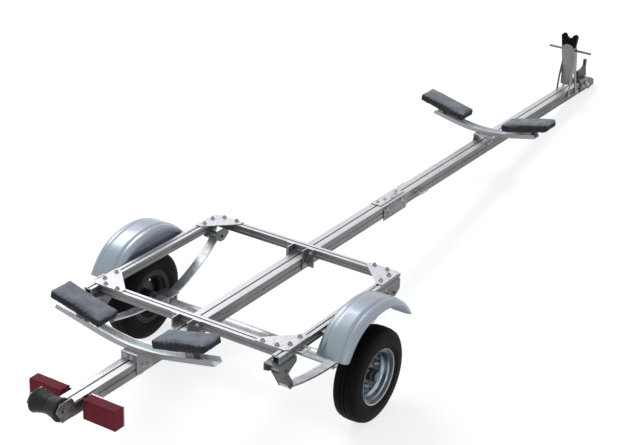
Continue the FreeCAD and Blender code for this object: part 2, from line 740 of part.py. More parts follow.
def saddle(name, place, length, lift):
    """An inverted channel over the beam that carries a cradle."""
    body = new_body(name)
    half = length / 2
    top = beam_top + lift
    foot = beam_top - d.saddle_drop
    prism(body, "xz", -plate_outside, plate_outside,
          [[(place - half, top), (place - half, foot + 6), (place - half * 0.55, foot),
            (place + half * 0.3, foot + 8), (place + half * 0.82, foot + 32),
            (place + half, top)]])
    prism(body, "xz", -plate_inside, plate_inside,
          [rectangle(place - half - 1, place + half + 1, foot - 1, top - d.plate)], cut=True)


def roller_bracket():
    """Two arms from the beam's tail that spread to the ends of the keel roller, and its shaft."""
    members = []
    x, z = roller_x, d.roller_z
    seat_end = d.arm_seat - d.beam_tail
    wide = d.roller_half + 3
    t, bend, flat = d.plate, -d.beam_tail, x + d.roller_radius + 6
    low, high = z - 47, z + 35
    for side, sign in sides():
        body = new_body(f"roller_arm_{side}")
        near = plate_inside
        outline = [(seat_end, near), (bend, near), (flat, wide), (x - 43, wide),
                   (x - 43, wide + t), (flat - 2, wide + t), (bend - 2, near + t), (seat_end, near + t)]
        prism(body, "xy", low, high, [[(a, b * sign) for a, b in outline]])
        prism(body, "xz", -wide - 10, wide + 10,
              [[(seat_end + 1, high + 1), (seat_end + 1, beam_top - 4), (bend, beam_top - 4),
                (x + 41, high), (x - 22, high), (x - 42, z + 8), (x - 44, z + 8),
                (x - 44, high + 1)]], cut=True)
        prism(body, "xz", -wide - 10, wide + 10,
              [[(seat_end + 1, low - 1), (seat_end + 1, beam_bottom + 8), (bend, beam_bottom + 8),
                (x + 41, low + 2), (x - 11, low), (x - 42, z + 8), (x - 44, z + 8),
                (x - 44, low - 1)]], cut=True)
        prism(body, "xz", -wide - 10, wide + 10, [],
              [(x, z, d.shaft_radius + d.fit_gap)], cut=True)
        members.append(body)
    reach = wide + t + 6
    members.append(bolt_between("roller_shaft", x, z, -reach, reach, d.shaft_radius))
    group("roller_bracket", members)


def keel_roller():
    """A rubber roller with a deep waist, in which a keel centres itself."""
    body = new_body("keel_roller")
    half, full, waist = d.roller_half, d.roller_radius, d.roller_waist
    middle, edge = d.waist_half, d.roller_edge
    bore = d.shaft_radius + d.running_gap
    turned(body, [[(bore, -half), (full, -half), (full, edge - half), (waist, -middle),
                   (waist, middle), (full, half - edge), (full, half), (bore, half)]],
           across=roller_x, lift=d.roller_z)


def lamp(side, sign):
    body = new_body(f"lamp_{side}")
    y0, y1 = lamp_inner, lamp_inner + d.lamp_width
    cut = d.lamp_chamfer
    bottom = lamp_top - d.lamp_height
    back = lamp_front - d.lamp_base
    low, high = (y0, y1) if sign > 0 else (-y1, -y0)
    prism(body, "xz", low, high, [[(lamp_rear + cut, bottom), (back, bottom), (back, lamp_top),
                                   (lamp_rear + cut, lamp_top), (lamp_rear, lamp_top - cut),
                                   (lamp_rear, bottom + cut)]])


def lamp_base(side, sign):
    body = new_body(f"lamp_base_{side}")
    y0, y1 = lamp_inner, lamp_inner + d.lamp_width
    low, high = (y0, y1) if sign > 0 else (-y1, -y0)
    prism(body, "xz", low, high, [rectangle(lamp_front - d.lamp_base, lamp_front,
                                            lamp_top - d.lamp_height, lamp_top)])
    return body


def lamp_bracket(side, sign):
    """An angle on the beam's side that carries a lamp by its base."""
    body = new_body(f"lamp_arm_{side}")
    near, far = plate_inside, plate_outside
    reach = lamp_inner + d.lamp_width * 0.6
    outline = [(lamp_front, near), (lamp_front + 50, near), (lamp_front + 50, far),
               (lamp_front + d.plate, far), (lamp_front + d.plate, reach), (lamp_front, reach)]
    prism(body, "xy", beam_bottom + 8, beam_top - 8, [[(a, b * sign) for a, b in outline]])
    return body


def bow_post():
    """Two plates with spread legs on the beam's sides and a web between their rear edges."""
    body = new_body("bow_post")
    x, rise = post_x, d.post_rise
    foot = beam_bottom + d.post_foot
    leg = d.leg_width

    def level(share):
        return beam_top + rise * share

    waist = (x + 25, level(0.66))
    prism(body, "xz", -plate_outside, plate_outside,
          [[(x, post_top), (x + 42, post_top), (x + 49, level(0.9)), (x + d.post_hip, level(0.63)),
            (x + d.post_shin, level(0.41)), (x + d.post_spread + leg, foot), (x + d.post_spread, foot),
            (x + d.post_crotch, level(0.25)),
            (x + 32, level(0.43)), (x + 16, level(0.29)), (x + 2, foot), (x + 2 - leg, foot),
            (x - 2, level(0.31)), waist]])
    prism(body, "xz", -plate_inside, plate_inside,
          [rectangle(x - 2 * leg, x + d.post_spread + 2 * leg, foot - 1, post_top + 1)], cut=True)
    t = d.plate
    prism(body, "xz", -plate_outside, plate_outside,
          [[(x, post_top), (x, post_top + d.web_rise), (x + t, post_top + d.web_rise),
            (x + t, post_top)]])
    prism(body, "xz", -plate_inside - 1, plate_inside + 1,
          [[(x, post_top), waist, (x + 31, level(0.08)), (x + 31 + t, level(0.08)),
            (x + 25 + t, level(0.66)), (x + t, post_top)]])
    side, peak = plate_outside, post_top + d.web_rise
    arch = (side * side + d.web_rise * d.web_rise) / (2 * d.web_rise)
    prism(body, "yz", x - 1, x + t + 1,
          [[(side, post_top, arch), (0, peak, arch), (-side, post_top), (-side - 1, post_top),
            (-side - 1, peak + 1), (side + 1, peak + 1), (side + 1, post_top)]], cut=True)
    prism(body, "xz", -plate_outside - 1, plate_outside + 1, [],
          [(x + d.tie_bar_x, post_top - d.tie_bar_drop, d.tie_bar_neck + d.running_gap)], cut=True)


def tie_bar():
    """A bar across the post, thinner where it passes through the plates."""
    body = new_body("bow_horns")
    neck = plate_outside + 0.3
    full, thin, end = d.tie_bar_radius, d.tie_bar_neck, d.tie_bar_half
    turned(body, [[(0, -end), (full, -end), (full, -neck), (thin, -neck), (thin, neck),
                   (full, neck), (full, end), (0, end)]],
           across=post_x + d.tie_bar_x, lift=post_top - d.tie_bar_drop)


def bow_stop():
    """A rubber block with two lobes and a notch for the stem of the boat."""
    body = new_body("bow_stop")
    rear = post_x + d.plate + d.fit_gap
    half, lobe = d.stop_half, d.stop_lobe
    bottom = post_top + d.fit_gap
    top = bottom + d.stop_height
    notch = top - d.stop_notch
    prism(body, "yz", rear, rear + d.stop_depth,
          [[(8 - half, bottom), (half - 8, bottom), (half, top - lobe, lobe),
            (half - 2 * lobe, top - lobe), (5, notch), (-5, notch),
            (2 * lobe - half, top - lobe, lobe), (-half, top - lobe)]])


def coupler():
    """The socket that drops over a towing ball, with a sleeve round the beam's nose."""
    body = new_body("coupler_body")
    inside, outside = plate_inside, plate_outside
    start, ball, nose = coupler_start, ball_x, coupler_nose
    high, low = beam_top + d.roof_rear, d.nose_bottom
    neck = d.beam_nose + 4
    prism(body, "xy", low, high,
          [[(start, -outside), (neck, -outside), (ball - 16, -nose), (ball, -nose, nose),
            (ball, nose), (ball - 16, nose), (neck, outside), (start, outside)]])
    prism(body, "xz", -outside - 1, outside + 1,
          [[(start, high), (neck, beam_top + d.roof_front), (ball - 24, low + 48),
            (ball + 12, low + 27), (ball + nose + 1, low + 8), (ball + nose + 1, high + 1),
            (start, high + 1)]], cut=True)
    edge = high - d.roof_chamfer
    for sign in (1, -1):
        prism(body, "yz", start - 1, ball + nose + 1,
              [[((outside + 1) * sign, edge), ((outside + 1) * sign, high + 1),
                ((outside - d.roof_chamfer * 0.7) * sign, high + 1)]], cut=True)
    prism(body, "xz", -outside - 1, outside + 1,
          [rectangle(start - 1, neck, low - 1, beam_bottom + 6)], cut=True)
    prism(body, "xy", beam_bottom - 1, beam_top + d.fit_gap,
          [rectangle(start - 1, d.beam_nose + 0.3, -inside, inside)], cut=True)
    r = d.ball_radius
    turned(body, [[(0, low - 1), (r, low - 1), (r, d.ball_z), (r * 0.5, d.ball_z + r * 0.9),
                   (0, d.ball_z + r * 0.9)]], plane="xz", across=ball, cut=True)


def coupler_latch():
    """The latch's plate and its upright handle, closed."""
    body = new_body("coupler_latch")
    half = d.latch_width / 2
    start, rod = latch_x, latch_x + d.rod_run
    wide = d.rod_width / 2
    span = d.beam_nose + 4 - coupler_start
    fall = d.roof_rear - d.roof_front

    def floor(x):
        return beam_top + d.roof_rear + d.fit_gap - fall * (x - coupler_start) / span

    top = beam_top + d.latch_foot
    end = rod + wide + 14
    prism(body, "xz", -half, half,
          [[(start, floor(start)), (end, floor(end)), (rod + wide, top - 4),
            (rod + wide, beam_top + d.rod_rise), (rod - wide, beam_top + d.rod_rise),
            (rod - wide, top + 14), (rod - wide - 30, top), (start, top)]])


def strap_loop(name, x, face, z, sign):
    """A square wire loop that stands out of a side face."""
    body = new_body(name)
    half, wire = d.loop_length / 2, d.loop_wire
    reach = face + d.loop_reach
    outline = [(x - half, face), (x - half, reach), (x + half, reach), (x + half, face),
               (x + half - wire, face), (x + half - wire, reach - wire),
               (x - half + wire, reach - wire), (x - half + wire, face)]
    prism(body, "xy", z - wire / 2, z + wire / 2, [[(a, b * sign) for a, b in outline]])
    return body


def build():
    beam("beam_rear", -d.beam_tail, d.beam_splice)
    beam("beam_front", d.beam_splice, d.beam_nose)
    splice_plates()
    crossmember("crossmember_rear", -d.frame_rear)
    crossmember("crossmember_front", crossmember_front_face)
    gussets = []
    angles = []
    for end, face, back, step in (("front", d.frame_front, crossmember_front_face, 1),
                                  ("rear", -d.frame_rear, -d.frame_rear, -1)):
        for side, sign in sides():
            gussets.append(gusset(f"gusset_{end}_{side}", face, step, sign))
            angles.append(angle_bracket(f"angle_{end}_{side}", back, sign))
    group("gusset_plates", gussets)
    group("angle_brackets", angles)
    axle()
    stays = []
    arms = []
    loops = []
    rail_loop_x = d.rail_loop_run + d.loop_length / 2 - d.frame_rear
    beam_loop_x = d.beam_splice + d.splice_length / 2 + d.beam_loop_run
    for side, sign in sides():
        side_rail(side, sign)
        leaf_spring(side, sign)
        spring_hanger(side, sign)
        spring_shackle(side, sign)
        axle_clamp(side, sign)
        tyre(side, sign)
        rim(side, sign)
        hub(side, sign)
        fender(side, sign)
        stays += fender_stays(side, sign)
        lamp(side, sign)
        arms += [lamp_base(side, sign), lamp_bracket(side, sign)]
        loops.append(strap_loop(f"rail_loop_{side}", rail_loop_x, rail_outer,
                                (d.rail_top + rail_bottom) / 2, sign))
        loops.append(strap_loop(f"beam_loop_{side}", beam_loop_x, beam_side,
                                (beam_top + beam_bottom) / 2, sign))
    group("fender_brackets", stays)
    group("lamp_brackets", arms)
    group("strap_loops", loops)
    brackets = []
    for end, place, arm, lift, middle, rise, shift, seat, length in (
            ("rear", -d.cradle_rear_x, d.rear_arm, d.rear_lift, d.rear_pad_middle,
             d.rear_pad_rise, d.rear_pad_shift, d.rear_saddle_shift, d.saddle_rear_length),
            ("front", d.cradle_front_x, d.front_arm, d.front_lift, d.front_pad_middle,
             d.front_pad_rise, d.front_pad_shift, -d.front_saddle_shift, d.saddle_front_length)):
        cradle(f"cradle_{end}", place, arm, lift)
        saddle(f"saddle_{end}", place + seat, length, lift)
        for side, sign in sides():
            pad(f"pad_{end}_{side}", place + shift, lift, middle, rise, sign)
            brackets.append(pad_bracket(f"bracket_{end}_{side}", place, lift, middle, rise, sign))
    group("pad_brackets", brackets)
    roller_bracket()
    keel_roller()
    bow_post()
    tie_bar()
    bow_stop()
    coupler()
    coupler_latch()


def park_placement():
    """Turn the trailer nose down until the tyres and the coupler's nose touch the floor."""
    nose_x = ball_x.value + coupler_nose.value
    nose_z = d.nose_bottom.value
    reach = math.hypot(nose_x, nose_z)
    pitch = math.atan2(nose_z, nose_x) + math.asin(d.wheel_radius.value / reach)
    turn = FreeCAD.Rotation(FreeCAD.Vector(0, 1, 0), math.degrees(pitch))
    return FreeCAD.Placement(FreeCAD.Vector(0, 0, d.wheel_radius.value), turn)


def check(obj):
    if "Invalid" in obj.State or "Error" in obj.State:
        raise RuntimeError(f"{obj.Label} failed: {obj.State}")


build()
doc.recompute()
for obj in doc.Objects:
    check(obj)
level = park_placement()
for piece in pieces:
    piece.Placement = level
doc.recompute()
low_x = min(piece.Shape.optimalBoundingBox(False).XMin for piece in pieces)
high_x = max(piece.Shape.optimalBoundingBox(False).XMax for piece in pieces)
level.Base.x = -(low_x + high_x) / 2
for piece in pieces:
    piece.Placement = level
doc.recompute()
os.makedirs("parts", exist_ok=True)
for piece in pieces:
    check(piece)
    if piece.Shape.isNull() or not piece.Shape.isValid():
        raise RuntimeError(f"{piece.Label} has no valid shape")
    piece.Shape.exportStep(f"parts/{piece.Label}.step")
print("nodes", len(pieces), "pitch", math.degrees(level.Rotation.Angle), "shift", level.Base.x)
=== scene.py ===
import json
from math import cos, degrees, hypot, pi, radians, sin, sqrt, tan
import bmesh
import bpy
from mathutils import Matrix, Vector


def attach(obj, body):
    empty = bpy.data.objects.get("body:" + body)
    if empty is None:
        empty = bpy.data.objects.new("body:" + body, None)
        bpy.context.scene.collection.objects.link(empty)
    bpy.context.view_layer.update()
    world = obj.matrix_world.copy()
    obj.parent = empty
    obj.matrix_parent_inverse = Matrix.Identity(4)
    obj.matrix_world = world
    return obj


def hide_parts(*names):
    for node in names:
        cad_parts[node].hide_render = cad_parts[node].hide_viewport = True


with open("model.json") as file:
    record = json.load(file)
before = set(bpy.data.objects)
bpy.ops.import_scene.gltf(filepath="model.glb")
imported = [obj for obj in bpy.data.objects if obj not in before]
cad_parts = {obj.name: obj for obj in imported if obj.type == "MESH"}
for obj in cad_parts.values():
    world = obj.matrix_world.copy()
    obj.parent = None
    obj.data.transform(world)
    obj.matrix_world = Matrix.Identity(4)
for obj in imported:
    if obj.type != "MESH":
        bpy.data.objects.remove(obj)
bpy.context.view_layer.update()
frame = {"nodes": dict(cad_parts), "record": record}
nodes = frame["nodes"]

# How the trailer stands: its level frame, with the axle at the origin, is tipped nose down
parking = {"noseDown": 6.261344569692493, "forward": -1.0705241814041615, "up": 0.206}
tipped = (Matrix.Translation((parking["forward"], 0, parking["up"]))
          @ Matrix.Rotation(radians(parking["noseDown"]), 4, "Y"))
wheelPlace = {"left": 590.0, "right": -590.0}
sideSign = {"left": 1, "right": -1}


def parked(x, y, z):
    return tipped @ Vector((x / 1000, y / 1000, z / 1000))


def parkedWay(x, y, z):
    return (tipped.to_3x3() @ Vector((x, y, z))).normalized()


class Term:
    # One socket of a node tree, so that sums are written as sums
    def __init__(self, graph, socket):
        self.graph, self.socket = graph, socket

    def sum(self, operation, first, second):
        return self.graph.add("ShaderNodeMath", {"operation": operation}, {0: first, 1: second})

    def __add__(self, other):
        return self.sum("ADD", self, other)

    def __radd__(self, other):
        return self.sum("ADD", other, self)

    def __sub__(self, other):
        return self.sum("SUBTRACT", self, other)

    def __rsub__(self, other):
        return self.sum("SUBTRACT", other, self)

    def __mul__(self, other):
        return self.sum("MULTIPLY", self, other)

    def __rmul__(self, other):
        return self.sum("MULTIPLY", other, self)

    def __abs__(self):
        return self.graph.add("ShaderNodeMath", {"operation": "ABSOLUTE"}, {0: self})

    def orMore(self, other):
        return self.sum("MAXIMUM", self, other)


class Graph:
    # Adds nodes to a tree: settings first, then numbers, colours or links for its sockets
    def __init__(self, tree):
        self.tree = tree

    def add(self, kind, settings=None, values=None, take=0):
        node = self.tree.nodes.new(kind)
        for key, value in (settings or {}).items():
            setattr(node, key, value)
        for key, value in (values or {}).items():
            if isinstance(value, Term):
                self.tree.links.new(value.socket, node.inputs[key])
            else:
                node.inputs[key].default_value = value
        return Term(self, node.outputs[take]) if node.outputs else None


class Finish(Graph):
    # One material, and the patterns that finishes are made from
    def __init__(self, name, look):
        self.material = bpy.data.materials.new(name)
        self.material.use_nodes = True
        self.material.diffuse_color = (*look, 1)
        super().__init__(self.material.node_tree)
        self.tree.nodes.clear()

    def level(self, stretch=(1, 1, 1)):
        # Object coordinates turned into the trailer's level frame, in metres
        at = self.add("ShaderNodeTexCoord", take=3)
        turned = self.add("ShaderNodeMapping", {"vector_type": "TEXTURE"}, {
            "Vector": at, "Location": (parking["forward"], 0, parking["up"]),
            "Rotation": (0, radians(parking["noseDown"]), 0)})
        if stretch == (1, 1, 1):
            return turned
        return self.add("ShaderNodeVectorMath", {"operation": "MULTIPLY"}, {0: turned, 1: stretch})

    def noise(self, scale, detail=3.0, rough=0.5, stretch=(1, 1, 1)):
        return self.add("ShaderNodeTexNoise", None, {
            "Vector": self.level(stretch), "Scale": scale, "Detail": detail, "Roughness": rough})

    def spread(self, value, low, high, first=0.0, last=1.0):
        return self.add("ShaderNodeMapRange", {"interpolation_type": "SMOOTHSTEP"}, {
            "Value": value, "From Min": low, "From Max": high, "To Min": first, "To Max": last})

    def tint(self, share, first, second):
        ends = [(*c, 1) if isinstance(c, tuple) and len(c) == 3 else c for c in (first, second)]
        return self.add("ShaderNodeMix", {"data_type": "RGBA"}, {0: share, 6: ends[0], 7: ends[1]}, take=2)

    def laid(self, colour, other, pattern, low, high, most=1.0):
        # The other colour laid over the first where the pattern goes from low to high
        return self.tint(self.spread(pattern, low, high, 0.0, most), colour, other)

    def across(self, at):
        # The sideways share of a place or a direction
        return self.add("ShaderNodeSeparateXYZ", None, {"Vector": at}, take=1)

    def bump(self, height, depth, strength):
        return self.add("ShaderNodeBump", None, {"Height": height, "Distance": depth, "Strength": strength})

    def facing(self):
        # How far a face looks up, in the level frame
        normal = self.add("ShaderNodeNewGeometry", take=1)
        return self.add("ShaderNodeVectorMath", {"operation": "DOT_PRODUCT"}, {
            0: normal, 1: tuple(parkedWay(0, 0, 1))}, take=1)

    def shine(self, values):
        shader = self.add("ShaderNodeBsdfPrincipled", None, values)
        self.add("ShaderNodeOutputMaterial", None, {"Surface": shader})
        return self.material


aluminium = {"top": (0.77, 0.77, 0.79), "side": (0.205, 0.20, 0.195), "under": (0.12, 0.12, 0.118),
             "rough": 0.26, "metallic": 0.85, "streaks": 0.42, "grain": 330.0, "drawn": 0.5}


def makeAluminium(name, along, side=None, top=None, far=None, metallic=aluminium["metallic"]):
    # Streaked the way it was drawn, with painted light on top, painted shade on its flanks and darker painted
    # shade underneath
    f = Finish(name, aluminium["top"])
    long, fine = aluminium["drawn"], aluminium["grain"]
    stretch = {"X": (long, fine, fine), "Y": (fine, long, fine), "Z": (fine, fine, long),
               "flat": (26.0, 160.0, 160.0)}[along]
    streaks = f.noise(1.0, 4.0, 0.6, stretch)
    patches = f.noise(7.0, 4.0, 0.6)
    scuffs = f.noise(1.0, 6.0, 0.7, (90.0, 140.0, 110.0))
    up = f.facing()
    flank = side or aluminium["side"]
    # Painted shade: the flanks darken towards the nose where a far tone is given
    if far:
        ahead = f.add("ShaderNodeSeparateXYZ", None, {"Vector": f.level()})
        flank = f.laid(flank, far, ahead, 0.9, 3.0, 0.9)
    # Painted light on faces that look up, painted shade on flanks and darker painted shade on undersides
    litAndShaded = f.laid(flank, top or aluminium["top"], up, 0.15, 0.85)
    litAndShaded = f.laid(litAndShaded, aluminium["under"], up, -0.2, -0.9)
    dull = f.laid(litAndShaded, (0.42, 0.40, 0.43), patches, 0.42, 0.78, 0.34)
    marked = f.laid(dull, (0.30, 0.29, 0.29), scuffs, 0.62, 0.78, 0.35)
    grained = f.laid(marked, (0.36, 0.355, 0.365), streaks, 0.46, 0.62, aluminium["streaks"])
    return f.shine({"Base Color": grained, "Metallic": metallic,
                    "Roughness": aluminium["rough"] + 0.16 * streaks + 0.12 * patches,
                    "Normal": f.bump(streaks, 0.00012, 0.5)})


zinc = {"spangle": 95.0, "cloud": 14.0, "grime": 60.0, "dirt": (0.13, 0.13, 0.125)}


def makeZinc(name, bright, dull, metallic=0.85, rough=0.30, side=None, under=None):
    # Spangled and a little grimy, with painted shade on flanks and undersides where their tones are given
    f = Finish(name, bright)
    cells = f.add("ShaderNodeTexVoronoi", None, {"Vector": f.level(), "Scale": zinc["spangle"]}, take=1)
    shade = f.add("ShaderNodeSeparateColor", None, {"Color": cells})
    cloud = f.noise(zinc["cloud"], 5.0, 0.6)
    grime = f.noise(1.0, 5.0, 0.65, (zinc["grime"],) * 3)
    colour = f.tint(0.35 * shade + 0.65 * f.spread(cloud, 0.3, 0.7), dull, bright)
    colour = f.laid(colour, zinc["dirt"], grime, 0.58, 0.8, 0.5)
    # Painted shade on flanks and undersides
    if side:
        colour = f.laid(colour, side, f.facing(), 0.75, 0.2, 0.85)
    if under:
        colour = f.laid(colour, under, f.facing(), 0.1, -0.7)
    return f.shine({"Base Color": colour, "Metallic": metallic,
                    "Roughness": rough + 0.14 * shade + 0.1 * grime,
                    "Normal": f.bump(cloud, 0.0004, 0.35)})


wheelSteel = {"lip": (0.34, 0.38, 0.40), "face": (0.045, 0.056, 0.057), "barrel": (0.38, 0.46, 0.53),
              "disc": (0.050, 0.058, 0.063), "under": (0.016, 0.016, 0.016),
              "cloudy": (0.17, 0.195, 0.21), "inboard": (0.018, 0.017, 0.018), "middle": 0.590}


def makeWheelSteel():
    # Bright outboard, with painted shade inboard, on undersides, on the disc and on the flange inside its
    # lip, and a painted bluish reflection on the barrel
    f = Finish("wheelZinc", wheelSteel["lip"])
    at = f.level()
    across = abs(f.across(at))
    spoke = f.add("ShaderNodeVectorMath", {"operation": "MULTIPLY"}, {0: at, 1: (1, 0, 1)})
    radius = f.add("ShaderNodeVectorMath", {"operation": "LENGTH"}, {0: spoke}, take=1)
    hand = f.add("ShaderNodeMath", {"operation": "SIGN"}, {0: f.across(at)})
    outward = f.across(f.add("ShaderNodeNewGeometry", take=1)) * hand
    cloud = f.noise(16.0, 4.0, 0.6)
    flange = f.spread(radius, 0.1000, 0.1035) * f.spread(radius, 0.1185, 0.1165)
    # Painted bluish reflection on the barrel, painted shade on the flange inside the lip and on the disc
    colour = f.tint(f.spread(radius, 0.1000, 0.1180), wheelSteel["barrel"], wheelSteel["lip"])
    colour = f.tint(flange, colour, wheelSteel["face"])
    colour = f.laid(colour, wheelSteel["disc"], radius, 0.0835, 0.081)
    colour = f.laid(colour, wheelSteel["cloudy"], cloud, 0.35, 0.75, 0.4)
    middle = wheelSteel["middle"]
    # Painted shade on undersides and on faces that look inboard
    inner = f.spread(across, middle + 0.001, middle - 0.002).orMore(f.spread(outward, -0.15, -0.5))
    colour = f.laid(colour, wheelSteel["under"], f.facing(), 0.3, -0.6, 0.85)
    colour = f.tint(inner * 0.95, colour, wheelSteel["inboard"])
    return f.shine({"Base Color": colour, "Metallic": 0.9 - 0.75 * inner, "Specular IOR Level": 0.2,
                    "Roughness": 0.17 + 0.1 * cloud + 0.3 * inner, "Normal": f.bump(cloud, 0.0003, 0.25)})


paint = {"colour": (0.315, 0.366, 0.448), "edge": (0.435, 0.480, 0.560), "shade": (0.115, 0.137, 0.200),
         "sky": (0.335, 0.430, 0.470), "flake": 1500.0, "middle": 578.0, "ridge": 38.0}


def makeGuardPaint():
    # Silver paint, with painted sky reflection where faces look up, painted shade on flanks and undersides,
    # and a painted shade line and a painted highlight line along each ridge
    f = Finish("guardSilverPaint", paint["colour"])
    flake = f.noise(paint["flake"], 1.0)
    cloud = f.noise(9.0, 3.0)
    ripple = f.noise(16.0, 1.0, 0.3)
    up = f.facing()
    colour = f.tint(f.spread(flake, 0.35, 0.7), paint["colour"], paint["edge"])
    colour = f.laid(colour, (0.40, 0.385, 0.43), cloud, 0.4, 0.75, 0.3)
    # Painted sky reflection on faces that look up, and painted shade on flanks and undersides
    colour = f.tint(f.spread(up, 0.25, 0.6) * f.spread(up, 0.98, 0.75, 0.0, 0.6), colour, paint["sky"])
    colour = f.laid(colour, paint["shade"], up, 0.16, -0.05, 0.75)
    # A painted shade line on the side of each ridge away from the guard's middle, and a painted highlight
    # line on the side towards it
    aside = abs(abs(f.across(f.level())) - paint["middle"] / 1000) * 1000 - paint["ridge"]
    colour = f.tint(f.spread(aside, 0.5, 2.5) * f.spread(aside, 8.5, 4.0, 0.0, 0.36), colour, paint["shade"])
    colour = f.tint(f.spread(aside, -5.0, -3.5) * f.spread(aside, 0.5, -1.5, 0.0, 0.6), colour, paint["sky"])
    return f.shine({"Base Color": colour, "Metallic": 0.5, "Roughness": 0.34 + 0.1 * cloud,
                    "Coat Weight": 0.55, "Coat Roughness": 0.1,
                    "Normal": f.bump(ripple, 0.0012, 0.5)})


rubber = {"tyre": (0.0060, 0.0055, 0.0062), "dust": (0.021, 0.018, 0.018), "roller": (0.010, 0.010, 0.011),
          "stop": (0.005, 0.0055, 0.0075)}


def makeTyreRubber():
    f = Finish("tyreRubber", rubber["tyre"])
    grain = f.noise(900.0, 3.0, 0.6)
    cloud = f.noise(22.0, 5.0, 0.65)
    dusty = f.spread(cloud, 0.45, 0.8, 0.0, 0.42) * f.spread(grain, 0.3, 0.7, 0.4, 1.0)
    return f.shine({"Base Color": f.tint(dusty, rubber["tyre"], rubber["dust"]),
                    "Roughness": 0.52 + 0.2 * cloud, "Specular IOR Level": 0.08,
                    "Normal": f.bump(grain, 0.0003, 0.5)})


def makeMouldedRubber(name, colour, rough, shine, dusty):
    f = Finish(name, colour)
    grain = f.noise(380.0, 4.0, 0.6)
    cloud = f.noise(30.0, 4.0)
    return f.shine({"Base Color": f.tint(f.spread(cloud, 0.4, 0.8, 0.0, 0.5), colour, dusty),
                    "Roughness": rough + 0.2 * cloud, "Specular IOR Level": shine,
                    "Normal": f.bump(grain, 0.0004, 0.45)})


lens = {"deep": (0.275, 0.034, 0.056), "light": (0.40, 0.048, 0.076), "top": (0.22, 0.030, 0.042),
        "edge": (0.40, 0.10, 0.13), "speck": (0.27, 0.045, 0.06), "pitch": 210.0}


def makeLens():
    f = Finish("redLens", lens["top"])
    spots = f.add("ShaderNodeTexVoronoi", {"feature": "F1", "distance": "CHEBYCHEV"}, {
        "Vector": f.level(), "Scale": lens["pitch"], "Randomness": 0.15})
    cloud = f.noise(28.0, 5.0, 0.7)
    fine = f.noise(330.0, 2.0)
    colour = f.tint(f.spread(cloud, 0.35, 0.75), lens["deep"], lens["light"])
    # Painted shade on faces that look up, and a painted pink highlight on the bevels between top and flanks
    up = f.facing()
    colour = f.laid(colour, lens["top"], up, 0.3, 0.9)
    colour = f.tint(f.spread(up, 0.3, 0.5) * f.spread(up, 0.93, 0.8, 0.0, 0.4), colour, lens["edge"])
    colour = f.laid(colour, lens["speck"], fine, 0.6, 0.75, 0.25)
    return f.shine({"Base Color": colour, "Roughness": 0.40 + 0.1 * cloud, "Specular IOR Level": 0.06,
                    "Normal": f.bump(spots, 0.0008, 0.35)})


carpet = {"colour": (0.415, 0.455, 0.495), "light": (0.76, 0.82, 0.88), "dark": (0.145, 0.158, 0.173),
          "side": (0.016, 0.013, 0.015), "worn": (0.055, 0.058, 0.066), "loops": 430.0}


def makeCarpet():
    f = Finish("padCarpet", carpet["colour"])
    loops = f.add("ShaderNodeTexVoronoi", {"feature": "F1"}, {
        "Vector": f.level(), "Scale": carpet["loops"], "Randomness": 1.0})
    fibres = f.noise(620.0, 5.0, 0.75)
    wisps = f.noise(1.0, 4.0, 0.7, (110.0, 300.0, 220.0))
    wear = f.noise(24.0, 4.0, 0.6)
    colour = f.tint(f.spread(fibres, 0.32, 0.68), carpet["dark"], carpet["light"])
    colour = f.tint(0.55, colour, carpet["colour"])
    colour = f.laid(colour, carpet["light"], wisps, 0.58, 0.75, 0.45)
    colour = f.laid(colour, carpet["worn"], wear, 0.35, 0.7, 0.35)
    # Painted shade on the pads' flanks
    colour = f.laid(colour, carpet["side"], f.facing(), 0.85, 0.25, 0.86)
    height = 0.6 * fibres + 0.5 * (1 - loops) + 0.3 * wisps
    return f.shine({"Base Color": colour, "Roughness": 0.96, "Specular IOR Level": 0.15,
                    "Sheen Weight": 0.16, "Sheen Roughness": 0.5, "Sheen Tint": (0.75, 0.80, 0.88, 1),
                    "Normal": f.bump(height, 0.0022, 0.9)})


# The flank and top tones given to these finishes are painted shade and painted light; the beams' third tone
# paints shade on their flanks towards the nose
alongX = makeAluminium("aluminiumAlong", "X", (0.165, 0.162, 0.158), (0.69, 0.69, 0.72),
                       (0.066, 0.073, 0.069))
railX = makeAluminium("aluminiumRail", "X", (0.135, 0.145, 0.138), (0.66, 0.665, 0.70))
acrossY = makeAluminium("aluminiumAcross", "Y", (0.19, 0.178, 0.175), (0.72, 0.71, 0.77))
cradleY = makeAluminium("aluminiumCradle", "Y", (0.37, 0.355, 0.36))
# A bright liner finish for inside the cradles: a painted reflection
cradleReflectionLiner = makeAluminium("aluminiumFloor", "Y", (0.84, 0.89, 0.93), (0.88, 0.94, 0.97), metallic=0.8)
uprightZ = makeAluminium("aluminiumUpright", "Z")
sheetMetal = makeAluminium("aluminiumSheet", "flat", top=(0.70, 0.69, 0.74))
tailSheet = makeAluminium("tailSheet", "flat", (0.085, 0.088, 0.082), (0.34, 0.35, 0.36))
# The flank and underside tones given to these steels are painted shade
galvanised = makeZinc("galvanisedSteel", (0.66, 0.68, 0.71), (0.40, 0.415, 0.43), under=(0.16, 0.165, 0.16))
darkSteel = makeZinc("weatheredSteel", (0.40, 0.42, 0.42), (0.17, 0.18, 0.175), rough=0.34,
                     side=(0.135, 0.145, 0.145), under=(0.075, 0.08, 0.075))
noseSteel = makeZinc("noseSteel", (0.36, 0.40, 0.38), (0.17, 0.19, 0.18), rough=0.3,
                     side=(0.050, 0.058, 0.054), under=(0.04, 0.042, 0.04))
latchSteel = makeZinc("latchSteel", (0.17, 0.19, 0.185), (0.06, 0.066, 0.064), rough=0.3,
                      side=(0.030, 0.034, 0.033), under=(0.02, 0.021, 0.02))
domeZinc = makeZinc("domeZinc", (0.36, 0.40, 0.40), (0.16, 0.18, 0.18), 0.9, 0.3)
bushSteel = makeZinc("bushSteel", (0.42, 0.36, 0.38), (0.26, 0.22, 0.235), rough=0.3)
